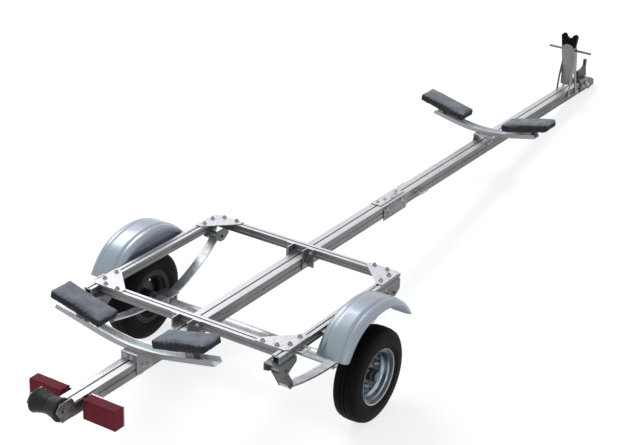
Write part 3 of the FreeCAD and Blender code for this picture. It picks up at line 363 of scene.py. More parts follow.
# Near black: painted shade on the hub behind its cap
hubSteel = makeZinc("hubSteel", (0.075, 0.08, 0.08), (0.035, 0.038, 0.038), 0.6, 0.36)
capSteel = makeZinc("capSteel", (0.19, 0.245, 0.28), (0.075, 0.095, 0.105), rough=0.16)
brightZinc = makeZinc("boltZinc", (0.52, 0.53, 0.55), (0.30, 0.31, 0.32), 1.0, 0.26)
paleZinc = makeZinc("loopZinc", (0.66, 0.67, 0.56), (0.45, 0.47, 0.40), 0.9, 0.28)
wheelSilver = makeWheelSteel()
guardPaint = makeGuardPaint()
tyreRubber = makeTyreRubber()
rollerRubber = makeMouldedRubber("rollerRubber", rubber["roller"], 0.38, 0.28, (0.055, 0.055, 0.06))
stopRubber = makeMouldedRubber("stopRubber", rubber["stop"], 0.36, 0.05, (0.022, 0.022, 0.026))
redLens = makeLens()
padCarpet = makeCarpet()
print("materials made")


def linked(name, data):
    thing = bpy.data.objects.new(name, data)
    bpy.context.scene.collection.objects.link(thing)
    return thing


def newPiece(name, mesh, material, body, replaced=()):
    piece = linked(name, mesh)
    if material is not None:
        mesh.materials.clear()
        mesh.materials.append(material)
    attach(piece, body)
    if replaced:
        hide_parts(*replaced)
    return piece


def bodyOf(node):
    return next(body for body, members in frame["record"]["behaviour"]["bodies"].items() if node in members)


def mergedCopy(node):
    mesh = nodes[node].data.copy()
    shell = bmesh.new()
    shell.from_mesh(mesh)
    bmesh.ops.remove_doubles(shell, verts=shell.verts, dist=2e-6)
    shell.to_mesh(mesh)
    shell.free()
    return mesh


finishOf = {node: finish for finish, names in (
    (railX, "side_rail"), (alongX, "beam_rear beam_front splice_plates"), (uprightZ, "bow_post"),
    (acrossY, "crossmember_front crossmember_rear fender_brackets"), (cradleY, "cradle_rear cradle_front"),
    (sheetMetal, "gusset_plates angle_brackets saddle_rear saddle_front pad_brackets lamp_brackets"),
    (tailSheet, "roller_bracket"), (galvanised, "axle leaf_spring"), (brightZinc, "axle_clamp"),
    (darkSteel, "spring_hanger spring_shackle bow_horns"), (hubSteel, "hub"), (wheelSilver, "rim"),
    (noseSteel, "coupler_body"), (latchSteel, "coupler_latch"), (stopRubber, "bow_stop"),
    (rollerRubber, "keel_roller"), (paleZinc, "strap_loops"), (tyreRubber, "tyre"), (guardPaint, "fender"),
    (redLens, "lamp"), (padCarpet, "pad_rear pad_front")) for node in names.split()}


def finishFor(node):
    # Both sides of the trailer share one finish
    return finishOf[node.removesuffix("_left").removesuffix("_right")]


for node, solid in nodes.items():
    solid.data.materials.clear()
    solid.data.materials.append(finishFor(node))

rolledEdges = {"width": 0.0009, "segments": 2, "sharp": 32.0, "flat": 0.6, "stop": 0.003, "lamp": 0.0024}


def creased(mesh, sharp):
    # Smooth shading, with creases where faces meet at more than sharp degrees
    mesh.shade_smooth()
    mesh.set_sharp_from_angle(angle=radians(sharp))


def softEdge(piece, width=rolledEdges["width"], segments=rolledEdges["segments"]):
    edge = piece.modifiers.new("softEdge", "BEVEL")
    edge.width, edge.segments, edge.limit_method = width, segments, "ANGLE"
    return edge


def rolledCopy(node, width=rolledEdges["width"]):
    # A CAD solid with its edges broken as a mill or a press leaves them
    mesh = mergedCopy(node)
    shell = bmesh.new()
    shell.from_mesh(mesh)
    bmesh.ops.dissolve_limit(shell, angle_limit=radians(rolledEdges["flat"]), verts=shell.verts,
                             edges=shell.edges)
    shell.to_mesh(mesh)
    shell.free()
    creased(mesh, rolledEdges["sharp"])
    piece = newPiece(node + "_rolled", mesh, finishFor(node), bodyOf(node), [node])
    edge = softEdge(piece, width)
    edge.angle_limit = radians(rolledEdges["sharp"])
    edge.use_clamp_overlap, edge.harden_normals = False, True


for node in ("side_rail_left", "side_rail_right", "beam_rear", "beam_front", "crossmember_front",
             "crossmember_rear", "angle_brackets", "splice_plates", "saddle_rear", "bow_post",
             "pad_brackets", "fender_brackets", "roller_bracket", "lamp_brackets", "leaf_spring_left",
             "leaf_spring_right", "spring_hanger_left", "spring_hanger_right", "coupler_body",
             "coupler_latch", "axle_clamp_left", "axle_clamp_right"):
    rolledCopy(node)
rolledCopy("bow_stop", rolledEdges["stop"])
for node in ("lamp_left", "lamp_right"):
    rolledCopy(node, rolledEdges["lamp"])
print("edges rolled")


def skinned(shell, rings, closed=True):
    # Faces between each ring of points and the next
    for near, far in zip(rings, rings[1:]):
        for i in range(len(near) - (not closed)):
            j = (i + 1) % len(near)
            shell.faces.new((near[i], near[j], far[j], far[i]))


def lathe(shell, place, section, turns, closed=True, sign=1):
    # Turns a section of (radius, distance along Y) round a line across the trailer
    x, y, z = place
    rings = []
    for step in range(turns):
        away, rise = (way(2 * pi * step / turns) for way in (cos, sin))
        rings.append([shell.verts.new(parked(x + r * away, y + along * sign, z + r * rise))
                      for r, along in section])
    skinned(shell, rings + rings[:1], closed)


def slab(shell, outline, low, high, flat=False):
    # A plate with its outline in (x, z) across the trailer, or lying flat with it in (x, y)
    rows = [[shell.verts.new(parked(a, b, rise) if flat else parked(a, rise, b)) for a, b in outline]
            for rise in (low, high)]
    for row in rows:
        shell.faces.new(row)
    skinned(shell, rows)


def finished(name, shell, sharp):
    bmesh.ops.remove_doubles(shell, verts=shell.verts, dist=1e-6)
    bmesh.ops.recalc_face_normals(shell, faces=shell.faces)
    mesh = bpy.data.meshes.new(name)
    shell.to_mesh(mesh)
    shell.free()
    creased(mesh, sharp)
    return mesh


def shellPiece(name, shell, sharp, material, body, replaced=()):
    return newPiece(name, finished(name, shell, sharp), material, body, replaced)


def platePiece(name, plates, material, replaced=(), flat=False):
    # Slabs of (outline, low, high) that make one piece on the chassis
    shell = bmesh.new()
    for outline, low, high in plates:
        slab(shell, outline, low, high, flat)
    return shellPiece(name, shell, 30, material, "chassis", replaced)


def ringPiece(name, side, section, material, replaced=(), turns=96, sharp=40, closed=True):
    # A section of (radius, distance outward) turned round a wheel's axis
    shell = bmesh.new()
    lathe(shell, (0, wheelPlace[side], 0), section, turns, closed, sideSign[side])
    return shellPiece(f"{name}_{side}", shell, sharp, material, f"wheel_{side}", replaced)


tyreShape = {
    "outer": [(200.4, 0), (200.3, 8.2), (198.6, 9.0), (198.6, 10.8), (200.1, 11.6), (199.6, 26.2),
              (197.8, 27), (197.8, 28.8), (199.0, 29.6), (197.6, 42.5), (192.0, 48.2), (187.0, 50.6),
              (186.2, 50.2), (184.6, 51.4), (178.0, 53.6), (168.0, 55.6), (157.0, 56.4), (149.0, 56.2),
              (146.4, 57.0), (143.6, 57.0), (142.0, 55.6), (134.0, 54.2), (130.0, 54.4), (127.6, 53.6),
              (125.4, 51.0), (124.4, 47.6), (118.0, 44.4), (108.0, 41.6), (103.4, 40.4)],
    "bore": [(101.8, 40.0), (101.8, -40.0)]}
treadShape = {"blocks": 88, "length": 0.0137, "width": 0.0158, "height": 0.0062, "turn": 0.26,
              "rows": [(-34.6, 199.0, -15, 0.5), (-19.2, 202.0, -3, 0.0), (0.0, 202.8, 0, 0.5),
                       (19.2, 202.0, 3, 0.0), (34.6, 199.0, 15, 0.5)]}


def tyreCarcass(side):
    half = tyreShape["outer"]
    section = [(r, -y) for r, y in half[:0:-1]] + half + tyreShape["bore"]
    ringPiece("tyreCarcass", side, section, tyreRubber, [f"tyre_{side}"], turns=180, sharp=42)


def groupTree(name, values):
    # A tree with inputs for the geometry, for the numbers in values and for a finish
    tree = bpy.data.node_groups.new(name, "GeometryNodeTree")
    kinds = {label: "Int" if isinstance(value, int) else "Float" for label, value in values.items()}
    sockets = {label: tree.interface.new_socket(label, in_out="INPUT", socket_type=f"NodeSocket{kind}")
               for label, kind in {"Geometry": "Geometry", **kinds, "Finish": "Material"}.items()}
    for label, value in values.items():
        sockets[label].default_value = value
    tree.interface.new_socket("Geometry", in_out="OUTPUT", socket_type="NodeSocketGeometry")
    graph = Graph(tree)
    start = tree.nodes.new("NodeGroupInput")
    given = {label: Term(graph, start.outputs[label]) for label in sockets}
    return graph, given, {label: socket.identifier for label, socket in sockets.items()}


def repeated(g, given, values):
    # Sets a shape on every point of the seed mesh, as real geometry in one finish
    placed = g.add("GeometryNodeInstanceOnPoints", None, {"Points": given["Geometry"], **values})
    real = g.add("GeometryNodeRealizeInstances", None, {"Geometry": placed})
    done = g.add("GeometryNodeSetMaterial", None, {"Geometry": real, "Material": given["Finish"]})
    g.add("NodeGroupOutput", None, {"Geometry": done})


def held(g, name, kind):
    return g.add("GeometryNodeInputNamedAttribute", {"data_type": kind}, {"Name": name})


def builtMesh(piece):
    # The plain mesh that a piece's modifiers make of it
    ready = piece.evaluated_get(bpy.context.evaluated_depsgraph_get())
    mesh = bpy.data.meshes.new_from_object(ready)
    piece.modifiers.clear()
    return mesh


def scattered(name, places, data, tree, names, values, body):
    # One piece with a tree's shape at every place, turned and sized by the data held there
    points = bpy.data.meshes.new(name + "Points")
    points.from_pydata([parked(*at) for at in places], [], [])
    for label, kind, field, items in data:
        for point, item in zip(points.attributes.new(label, kind, "POINT").data, items):
            setattr(point, field, item)
    seed = linked(name + "Seed", points)
    step = seed.modifiers.new("build", "NODES")
    step.node_group = tree
    for label, value in values.items():
        step[names[label]] = value
    mesh = builtMesh(seed)
    mesh.name = name
    bpy.data.objects.remove(seed)
    return newPiece(name, mesh, None, body)


def fastenerTree():
    # A washer, a head and a bolt's end, stacked from the seat up
    g, given, names = groupTree("boltHeads", {
        "Head Width": 0.013, "Head Height": 0.005, "Crown": 0.82, "Sides": 6, "Washer Width": 0.018,
        "Tip Length": 0.004})

    def layer(low, high, bottom, top, sides):
        cone = g.add("GeometryNodeMeshCone", {"fill_type": "NGON"}, {
            "Vertices": sides, "Side Segments": 1, "Radius Top": top, "Radius Bottom": bottom,
            "Depth": high - low})
        lift = g.add("ShaderNodeCombineXYZ", None, {"Z": low})
        return g.add("GeometryNodeTransform", None, {"Geometry": cone, "Translation": lift})

    rim, washer = 0.0012, 0.0016
    radius, wide = given["Head Width"] * 0.5, given["Washer Width"] * 0.5
    shoulder, top = given["Head Height"] * 0.7 + washer, given["Head Height"] + washer
    neck = radius * (0.5 + 0.5 * given["Crown"])
    layers = [
        layer(0.0, rim, wide, wide, 20), layer(rim, washer, wide, wide * 0.96, 20),
        layer(washer, shoulder, radius, neck, given["Sides"]),
        layer(shoulder, top, neck, radius * given["Crown"] * 0.92, given["Sides"]),
        layer(top, top + given["Tip Length"], radius * 0.5, radius * 0.42, 12)]
    join = g.tree.nodes.new("GeometryNodeJoinGeometry")
    for part in layers[::-1]:
        g.tree.links.new(part.socket, join.inputs[0])
    facing = held(g, "facing", "FLOAT_VECTOR")
    turn = g.add("FunctionNodeAlignRotationToVector", {"axis": "Z"}, {"Vector": facing})
    repeated(g, given, {"Instance": Term(g, join.outputs[0]), "Rotation": turn,
                        "Scale": held(g, "size", "FLOAT")})
    return g.tree, names


boltTree, boltNames = fastenerTree()


def fasteners(name, heads, body, finish, values):
    # Each head is (x, y, z) in the level frame, the way it looks, and a size
    places, ways, sizes = zip(*heads)
    data = [("facing", "FLOAT_VECTOR", "vector", [parkedWay(*way) for way in ways]),
            ("size", "FLOAT", "value", sizes)]
    values = dict(values, Finish=finish)
    scattered(name, places, data, boltTree, boltNames, values, body).data.shade_flat()


def treadTree():
    g, given, names = groupTree("treadBlocks", {
        "Length": treadShape["length"], "Width": treadShape["width"], "Height": treadShape["height"]})
    size = g.add("ShaderNodeCombineXYZ", None, {
        "X": given["Length"], "Y": given["Width"], "Z": given["Height"]})
    block = g.add("GeometryNodeMeshCube", None, {
        "Size": size, "Vertices X": 2, "Vertices Y": 2, "Vertices Z": 2})
    repeated(g, given, {"Instance": block, "Rotation": held(g, "turn", "QUATERNION")})
    return g.tree, names


blockTree, blockNames = treadTree()


def treadOf(side):
    places, turns = [], []
    for across, radius, tilt, phase in treadShape["rows"]:
        lean = Matrix.Rotation(radians(-tilt), 3, "X")
        twist = Matrix.Rotation(treadShape["turn"] * (1 if phase else -1), 3, "Z")
        for step in range(treadShape["blocks"]):
            angle = 2 * pi * (step + phase) / treadShape["blocks"]
            places.append((radius * cos(angle), wheelPlace[side] + across, radius * sin(angle)))
            spin = Matrix.Rotation(-angle + pi / 2, 3, "Y") @ lean @ twist
            turns.append((tipped.to_3x3() @ spin).to_quaternion())
    piece = scattered(f"treadBlocks_{side}", places, [("turn", "QUATERNION", "value", turns)], blockTree,
                      blockNames, {"Finish": tyreRubber}, f"wheel_{side}")
    softEdge(piece, segments=1)


for side in wheelPlace:
    tyreCarcass(side)
    treadOf(side)
print("tyres and tread made")

rimShape = {
    "shell": [(101.2, -49.0), (104.0, -49.6), (116.0, -48.6), (122.0, -49.2), (123.8, -51.2),
              (123.4, -51.9), (121.2, -51.8), (119.4, -50.6), (112.0, -50.4), (102.0, -51.2),
              (98.4, -49.0), (97.6, -38.0), (92.0, -33.0), (86.0, -26.0), (84.4, -14.0), (84.4, 2.0),
              (88.0, 9.0), (95.0, 15.0), (97.6, 22.0), (98.8, 33.0), (100.6, 39.4), (104.4, 43.6),
              (110.0, 46.4), (116.0, 48.4), (119.6, 50.2), (121.8, 51.7), (123.4, 51.9), (123.8, 51.2),
              (122.0, 49.0), (116.0, 46.8), (108.0, 44.6), (103.0, 41.0), (100.9, 35.0), (100.4, 24.0),
              (97.6, 17.0), (90.4, 10.4), (87.2, 3.6), (87.2, -13.6), (88.6, -24.6), (94.0, -31.0),
              (100.0, -37.0), (100.6, -46.0)],
    "disc": [(26.8, 1.4), (26.8, 4.2), (34.0, 4.2), (38.0, 3.6), (58.0, 3.6), (62.0, 5.4), (66.0, 10.6),
             (71.0, 14.2), (77.0, 14.6), (82.0, 12.4), (84.6, 7.0), (84.6, 2.0), (82.4, 5.6), (80.6, 9.6),
             (76.4, 11.8), (71.6, 11.4), (68.4, 8.6), (64.0, 3.0), (59.0, 1.2), (38.0, 1.2), (34.0, 1.4)],
    "holes": 6, "holeRadius": 7.5, "holeCircle": 72.5, "holeMiddle": 8.0, "cutDepth": 0.04,
    "studs": 4, "studCircle": 50.8, "nutSeat": 3.6}
wheelNut = {"Head Width": 0.0205, "Head Height": 0.013, "Crown": 0.7, "Washer Width": 0.0205,
            "Tip Length": 0.005}
hubCap = [(0.0, 52.0), (14.0, 51.6), (20.0, 49.6), (22.6, 45.0), (23.2, 38.0), (23.4, 30.0), (26.6, 29.4),
          (27.4, 28.4), (27.4, 25.0), (26.2, 25.0), (26.2, 28.2), (22.2, 28.8), (22.0, 38.0), (21.4, 44.4),
          (19.2, 48.4), (13.6, 50.4), (0.0, 50.8)]


def roundWheel(side, count, circle, out):
    # Places spread evenly round a wheel, out from its middle
    turns = [2 * pi * (step + 0.5) / count for step in range(count)]
    return [(circle * cos(turn), wheelPlace[side] + out * sideSign[side], circle * sin(turn))
            for turn in turns]


def wheelOf(side):
    ringPiece("rimShell", side, rimShape["shell"], wheelSilver, [f"rim_{side}"],
              turns=144, sharp=50)
    disc = ringPiece("rimDisc", side, rimShape["disc"], wheelSilver, [f"rim_{side}"])
    cutters = bmesh.new()
    radius, quarter = rimShape["holeRadius"] / 1000, Matrix.Rotation(pi / 2, 4, "X")
    for place in roundWheel(side, rimShape["holes"], rimShape["holeCircle"], rimShape["holeMiddle"]):
        bmesh.ops.create_cone(cutters, cap_ends=True, segments=24, radius1=radius, radius2=radius,
                              depth=rimShape["cutDepth"], matrix=Matrix.Translation(parked(*place)) @ quarter)
    cutMesh = bpy.data.meshes.new("ventCutters")
    cutters.to_mesh(cutMesh)
    cutters.free()
    cutter = linked("ventCutters", cutMesh)
    cut = disc.modifiers.new("vents", "BOOLEAN")
    cut.operation, cut.object, cut.solver = "DIFFERENCE", cutter, "EXACT"
    disc.data = builtMesh(disc)
    bpy.data.objects.remove(cutter)
    creased(disc.data, 40)
    nuts = roundWheel(side, rimShape["studs"], rimShape["studCircle"], rimShape["nutSeat"])
    fasteners(f"wheelNuts_{side}", [(place, (0, sideSign[side], 0), 1.0) for place in nuts],
              f"wheel_{side}", brightZinc, wheelNut)
    ringPiece("hubCap", side, hubCap, capSteel, turns=64, closed=False)


for side in wheelPlace:
    wheelOf(side)
for node in ("hub_left", "hub_right"):
    rolledCopy(node)
print("wheels made")

guard = {"crown": 301.0, "skirt": 266.0, "inner": 504.0, "width": 148.0, "corner": 23.0, "wall": 2.4,
         "centreX": -12.0, "centreZ": 45.0, "start": 25.5, "sweep": 126.5, "steps": 96, "nose": 20.0,
         "heel": 3.6, "heelTop": 0.9, "step": 3.0, "lip": 0.0008,
         "ridge": ((30.0, 0.0), (34.5, 0.0), (38.0, 1.0), (50.0, 1.0), (62.0, 1.0), (74.0, 1.0)),
         "fuller": 15.0, "fullFrom": 92.0, "fullOver": 40.0,
         "plate": (504.6, 506.2), "plateRadius": 284.0, "plateStart": 30.0, "plateSweep": 120.0,
         "plateSteps": 48, "chord": 250.0}


def guardSwell(angle):
    # How much further out the guard runs behind the wheel
    share = min(1.0, max(0.0, (degrees(angle) - guard["fullFrom"]) / guard["fullOver"]))
    return guard["fuller"] * share * share * (3 - 2 * share)


def guardPlate(side):
    # The flat plate that fills the guard's inner side down to the rail
    outline, chord = [], guard["chord"]
    for step in range(guard["plateSteps"] + 1):
        angle = radians(guard["plateStart"] + guard["plateSweep"] * step / guard["plateSteps"])
        r = guard["plateRadius"] + guardSwell(angle)
        x, z = r * cos(angle) + guard["centreX"], r * sin(angle) + guard["centreZ"]
        if z > chord:
            outline.append((x, z))
    outline = [(outline[0][0], chord)] + outline + [(outline[-1][0], chord)]
    low, high = sorted(y * sideSign[side] for y in guard["plate"])
    platePiece(f"guardPlate_{side}", [(outline, low, high)], guardPaint)


def guardSection():
    # Skirt, rounded corner and ridge as (across, height above the skirt's edge), and their mirror image
    skirt, corner = guard["skirt"], guard["corner"]
    wall = guard["crown"] - corner - skirt - guard["step"]
    half = [(0.0, wall * i / 5) for i in range(5)]
    for i in range(9):
        turn = pi / 2 * i / 8
        half.append((corner - corner * cos(turn), wall + corner * sin(turn)))
    half += [(across, guard["crown"] - skirt - guard["step"] * (1 - rise)) for across, rise in guard["ridge"]]
    return half + [(guard["width"] - across, high) for across, high in half[-2::-1]]


def guardOf(side):
    skirt, section, steps = guard["skirt"], guardSection(), guard["steps"]
    shell, rows = bmesh.new(), []
    for step in range(steps + 1):
        rows.append([])
        for across, high in section:
            share = high / (guard["crown"] - skirt)
            first = guard["start"] + guard["nose"] * (1 - share)
            bare = max(0.0, 1 - share / guard["heelTop"])
            last = guard["start"] + guard["sweep"] - guard["heel"] * (1 - sqrt(1 - bare * bare))
            angle = radians(first + (last - first) * step / steps)
            r = skirt + high + guardSwell(angle)
            rows[-1].append(shell.verts.new(parked(
                r * cos(angle) + guard["centreX"], (guard["inner"] + across) * sideSign[side],
                r * sin(angle) + guard["centreZ"])))
    skinned(shell, rows, False)
    bmesh.ops.recalc_face_normals(shell, faces=shell.faces)
    shell.normal_update()
    middle = rows[steps // 2][len(section) // 2]
    across = (guard["inner"] + guard["width"] / 2) * sideSign[side]
    centre = parked(guard["centreX"], across, guard["centreZ"])
    if middle.normal.dot(middle.co - centre) < 0:
        bmesh.ops.reverse_faces(shell, faces=shell.faces)
    mesh = bpy.data.meshes.new(f"guardShell_{side}")
    shell.to_mesh(mesh)
    shell.free()
    creased(mesh, 60)
    piece = newPiece(f"guardShell_{side}", mesh, guardPaint, "chassis", [f"fender_{side}"])
    wall = piece.modifiers.new("wall", "SOLIDIFY")
    wall.thickness, wall.offset, wall.use_even_offset = guard["wall"] / 1000, -1.0, True
    softEdge(piece, guard["lip"]).angle_limit = radians(50)


for side in wheelPlace:
    guardOf(side)
    guardPlate(side)
print("guards made")

rollerShape = {"place": (-1265.0, 0.0, 253.0),
               "half": [(8.4, 63.6), (40.0, 63.6), (44.6, 62.6), (46.6, 60.0), (47.0, 56.0), (46.6, 53.6),
                        (45.0, 52.6), (43.8, 50.4), (41.2, 38.0), (38.0, 26.0), (35.4, 15.0), (34.2, 6.0),
                        (34.0, 2.6), (33.4, 1.6), (32.6, 0.8), (32.4, 0.0)]}


rollerHalf, rollerShell = rollerShape["half"], bmesh.new()
lathe(rollerShell, rollerShape["place"], rollerHalf + [(r, -y) for r, y in rollerHalf[-2::-1]], 96)
shellPiece("keelRollerRubber", rollerShell, 38, rollerRubber, "roller", ["keel_roller"])
print("roller made")

shackle = {"top": (-467.08, 194.46), "low": (-405.08, 96.46), "inner": 430.3, "outer": 474.7,
           "webEnds": (16.0, 17.0), "webOff": (14.5, 11.5),
           "bush": [(6.4, -22.0), (12.4, -22.0), (13.0, -21.4), (13.0, 21.4), (12.4, 22.0), (6.4, 22.0)]}


def shackleFillings(side):
    # The web that joins a shackle's two links, and the bush on its upper bolt
    (x0, z0), (x1, z1) = shackle["top"], shackle["low"]
    span = hypot(x1 - x0, z1 - z0)
    ux, uz = (x1 - x0) / span, (z1 - z0) / span
    low, high = sorted(shackle[key] * sideSign[side] for key in ("inner", "outer"))
    (first, last), (out, back) = shackle["webEnds"], shackle["webOff"]
    web = [(x0 + ux * t + uz * off, z0 + uz * t - ux * off) for t, off in
           ((first, out), (span - last, out), (span - last, back), (first, back))]
    platePiece(f"shackleWeb_{side}", [(web, low, high)], darkSteel)
    bush = bmesh.new()
    lathe(bush, (x0, (low + high) / 2, z0), shackle["bush"], 40)
    shellPiece(f"shackleBush_{side}", bush, 40, bushSteel, "chassis")


for side in wheelPlace:
    shackleFillings(side)

cornerPlate = {"ends": (404.0, -454.0), "side": 488.0, "leg": 154.0, "tip": 28.0, "corner": 16.0,
               "low": 270.0, "high": 274.0}


def cornerPlates():
    leg, tip, corner, low, high = (cornerPlate[key] for key in ("leg", "tip", "corner", "low", "high"))
    plates = []
    for end in cornerPlate["ends"]:
        for side in (1, -1):
            ahead, across, y = (-1 if end > 0 else 1), -side, cornerPlate["side"] * side
            plates.append(([(end + a * ahead, y + b * across) for a, b in (
                (corner, 0), (leg, 0), (leg, tip), (tip, leg), (0, leg), (0, corner))], low, high))
    softEdge(platePiece("cornerPlates", plates, sheetMetal, ["gusset_plates"], True))


cradleShape = {"rear": (-767.0, 390.0, 263.0), "front": (2086.0, 298.0, 266.0), "bend": 860.0,
               "angle": 12.0, "half": 26.5, "wall": 3.6, "height": 22.0, "cut": 7.0, "steps": 32,
               "gap": 0.1, "sunk": 0.3, "skin": 0.5, "lid": 0.8}


def cradleSweep(name, end, section, material, replaced=()):
    # A section of (forward, up) run along a cradle arm, with its ends cut back a little
    place, arm, low = cradleShape[end]
    bend, height = cradleShape["bend"], cradleShape["height"]
    most, steps = radians(cradleShape["angle"]), cradleShape["steps"]
    stations = [(bend * sin(a), low + bend * (1 - cos(a)), a, 0) for a in
                (most * (2 * i / steps - 1) for i in range(steps + 1))]
    tip = stations[-1][1] + (arm - stations[-1][0]) * tan(most)
    stations = [(-arm, tip, -most, 1)] + stations + [(arm, tip, most, -1)]
    shell, rings = bmesh.new(), []
    for y, z, a, back in stations:
        rings.append([])
        for x, up in section:
            slip = cradleShape["cut"] * up / height * back
            rings[-1].append(shell.verts.new(parked(place + x, y - up * sin(a) + slip * cos(a),
                                                    z + up * cos(a) + slip * sin(a))))
    skinned(shell, rings)
    shell.faces.new(rings[0])
    shell.faces.new(rings[-1])
    return shellPiece(f"{name}_{end}", shell, 30, material, "chassis", replaced)


def cradleOf(end):
    # A bent channel that lies open side up, and a bright liner inside it, a painted reflection on its inner
    # faces
    half, wall, height, skin = (cradleShape[key] for key in ("half", "wall", "height", "skin"))
    softEdge(cradleSweep("cradleChannel", end, [
        (-half, 0), (half, 0), (half, height), (half - wall, height), (half - wall, wall),
        (wall - half, wall), (wall - half, height), (-half, height)], cradleY, [f"cradle_{end}"]))
    rim, lid, low = half - wall - cradleShape["gap"], height - cradleShape["lid"], wall - cradleShape["sunk"]
    cradleSweep("cradleReflectionLiner", end, [
        (-rim, low), (rim, low), (rim, lid), (rim - skin, lid), (rim - skin, wall + skin),
        (skin - rim, wall + skin), (skin - rim, lid), (-rim, lid)], cradleReflectionLiner)


cornerPlates()
for end in ("rear", "front"):
    cradleOf(end)
print("corner plates and cradles made")

saddleShape = {"place": 2075.0, "inner": 34.7, "outer": 38.7, "lap": 1.5,
               "cheek": [(-42.0, 266.0), (-42.0, 222.0), (-23.1, 214.0), (8.4, 220.0), (42.0, 252.0),
                         (42.0, 266.0)],
               "roof": [(-41.6, 262.0), (41.6, 262.0), (41.6, 265.9), (-41.6, 265.9)]}


def frontSaddle():
    # Two cheeks with a sloping foot, joined by a plate under the cradle
    cheek, roof = ([(saddleShape["place"] + x, z) for x, z in saddleShape[key]] for key in ("cheek", "roof"))
    inner, outer = saddleShape["inner"], saddleShape["outer"]
    lap = inner + saddleShape["lap"]
    plates = [(cheek, inner, outer), (cheek, -outer, -inner), (roof, -lap, lap)]
    softEdge(platePiece("frontSaddleCheeks", plates, sheetMetal, ["saddle_front"]))


frontSaddle()

saddleEnd = {"x": (-813.6, -809.8), "y": 34.6, "z": (232.4, 259.0),
             "bolts": (-12.0, 13.0), "boltsUp": 246.0}


def rearSaddleEnd():
    # The plate that closes the rear saddle behind
    (near, far), (low, high), half = saddleEnd["x"], saddleEnd["z"], saddleEnd["y"]
    outline = [(near, low), (far, low), (far, high), (near, high)]
    platePiece("rearSaddleEnd", [(outline, -half, half)], sheetMetal)


rearSaddleEnd()
print("shackles and saddle made")

padRecipe = {"slope": 12.0, "voxel": 0.0042, "shrink": 0.0035, "pressure": 4.0, "mostSwell": 0.006,
             "frames": 14, "proud": (0.0035, 0.003), "over": 0.008, "under": 0.010, "tilt": 1.5,
             "pivot": 0.06, "longer": {"rear": 0.014, "front": 0.022},
             "round": (0.018, 0.018, 0.0095), "hem": 0.004, "board": 0.003}


def swell(piece):
    # Pressure pushes the carpet out, and its settled shape is kept up to a limit
    mesh = piece.data
    start = [v.co.copy() for v in mesh.vertices]
    cloth = piece.modifiers.new("swell", "CLOTH")
    rules = cloth.settings
    rules.quality, rules.mass, rules.use_pressure = 5, 0.3, True
    rules.uniform_pressure_force = padRecipe["pressure"]
    rules.effector_weights.gravity = 0
    rules.tension_stiffness, rules.compression_stiffness = 30, 30
    cloth.point_cache.frame_start, cloth.point_cache.frame_end = 1, padRecipe["frames"] + 1
    for step in range(1, padRecipe["frames"] + 1):
        bpy.context.scene.frame_set(step)
    ready = piece.evaluated_get(bpy.context.evaluated_depsgraph_get())
    swollen = [v.co.copy() for v in ready.data.vertices]
    piece.modifiers.clear()
    bpy.context.scene.frame_set(1)
    for vertex, was, now in zip(mesh.vertices, start, swollen):
        move = now - was
        if move.length > padRecipe["mostSwell"]:
            move *= padRecipe["mostSwell"] / move.length
        vertex.co = was + move


def dressPad(shell, centre, axes, reach, side, longer):
    # Full size again along each of its own ways, with round corners and a flat board below
    spans = [max(abs((v.co - centre).dot(a)) for v in shell.verts) for a in axes]
    sizes = [r + extra for r, extra in zip(reach, padRecipe["proud"])]
    sizes[0] += longer
    roof, floor = reach[2] + padRecipe["over"], -reach[2] - padRecipe["under"]
    lean = tan(radians(padRecipe["tilt"]))
    for v in shell.verts:
        away = v.co - centre
        parts = [away.dot(a) * size / span for a, size, span in zip(axes, sizes, spans)]
        share = (away.dot(axes[2]) / spans[2] + 1) / 2
        parts.append(floor + (roof - floor) * share)
        upper = parts[2] > (roof + floor) / 2
        turns = padRecipe["round"][:2] + (padRecipe["round"][2] if upper else padRecipe["hem"],)
        keep = [min(max(part, low + turn), high - turn) for part, low, high, turn in zip(
            parts, (-sizes[0], -sizes[1], floor), (sizes[0], sizes[1], roof), turns)]
        over = sqrt(sum(((part - kept) / turn) ** 2 for part, kept, turn in zip(parts, keep, turns)))
        if over > 1:
            parts = [kept + (part - kept) / over for part, kept in zip(parts, keep)]
        if parts[2] < floor + padRecipe["board"]:
            parts[2] = floor
        parts[2] += (parts[0] * side + padRecipe["pivot"]) * lean
        parts[0] -= longer * side
        v.co = centre + sum((a * part for a, part in zip(axes, parts)), Vector())


def softPad(node):
    mesh = mergedCopy(node)
    shell = bmesh.new()
    shell.from_mesh(mesh)
    centre = sum((v.co for v in shell.verts), Vector()) / len(shell.verts)
    side = 1 if centre.y > 0 else -1
    flat, steep = (turn(radians(padRecipe["slope"])) for turn in (cos, sin))
    axes = (parkedWay(0, flat, side * steep), parkedWay(1, 0, 0), parkedWay(0, -side * steep, flat))
    reach = [max(abs((v.co - centre).dot(a)) for v in shell.verts) for a in axes]
    for v in shell.verts:
        away = v.co - centre
        v.co = centre + sum(((away.dot(a) * (1 - padRecipe["shrink"] / r)) * a
                             for a, r in zip(axes, reach)), Vector())
    shell.to_mesh(mesh)
    shell.free()
    piece = newPiece(node + "_carpeted", mesh, padCarpet, "chassis", [node])
    bpy.context.view_layer.objects.active = piece
    grid = piece.modifiers.new("even", "REMESH")
    grid.mode, grid.voxel_size = "VOXEL", padRecipe["voxel"]
    piece.data = even = builtMesh(piece)
    swell(piece)
    smooth = bmesh.new()
    smooth.from_mesh(even)
    for _ in range(2):
        bmesh.ops.smooth_vert(smooth, verts=smooth.verts, factor=0.5, use_axis_x=True, use_axis_y=True,
                              use_axis_z=True)
    longer = padRecipe["longer"]["rear" if "rear" in node else "front"] / 2
    dressPad(smooth, centre, axes, reach, side, longer)
    smooth.to_mesh(even)
    smooth.free()
    even.shade_smooth()
    finer = piece.modifiers.new("finer", "SUBSURF")
    finer.levels = finer.render_levels = 1


for node in ("pad_rear_left", "pad_rear_right", "pad_front_left", "pad_front_right"):
    softPad(node)
print("pads made")

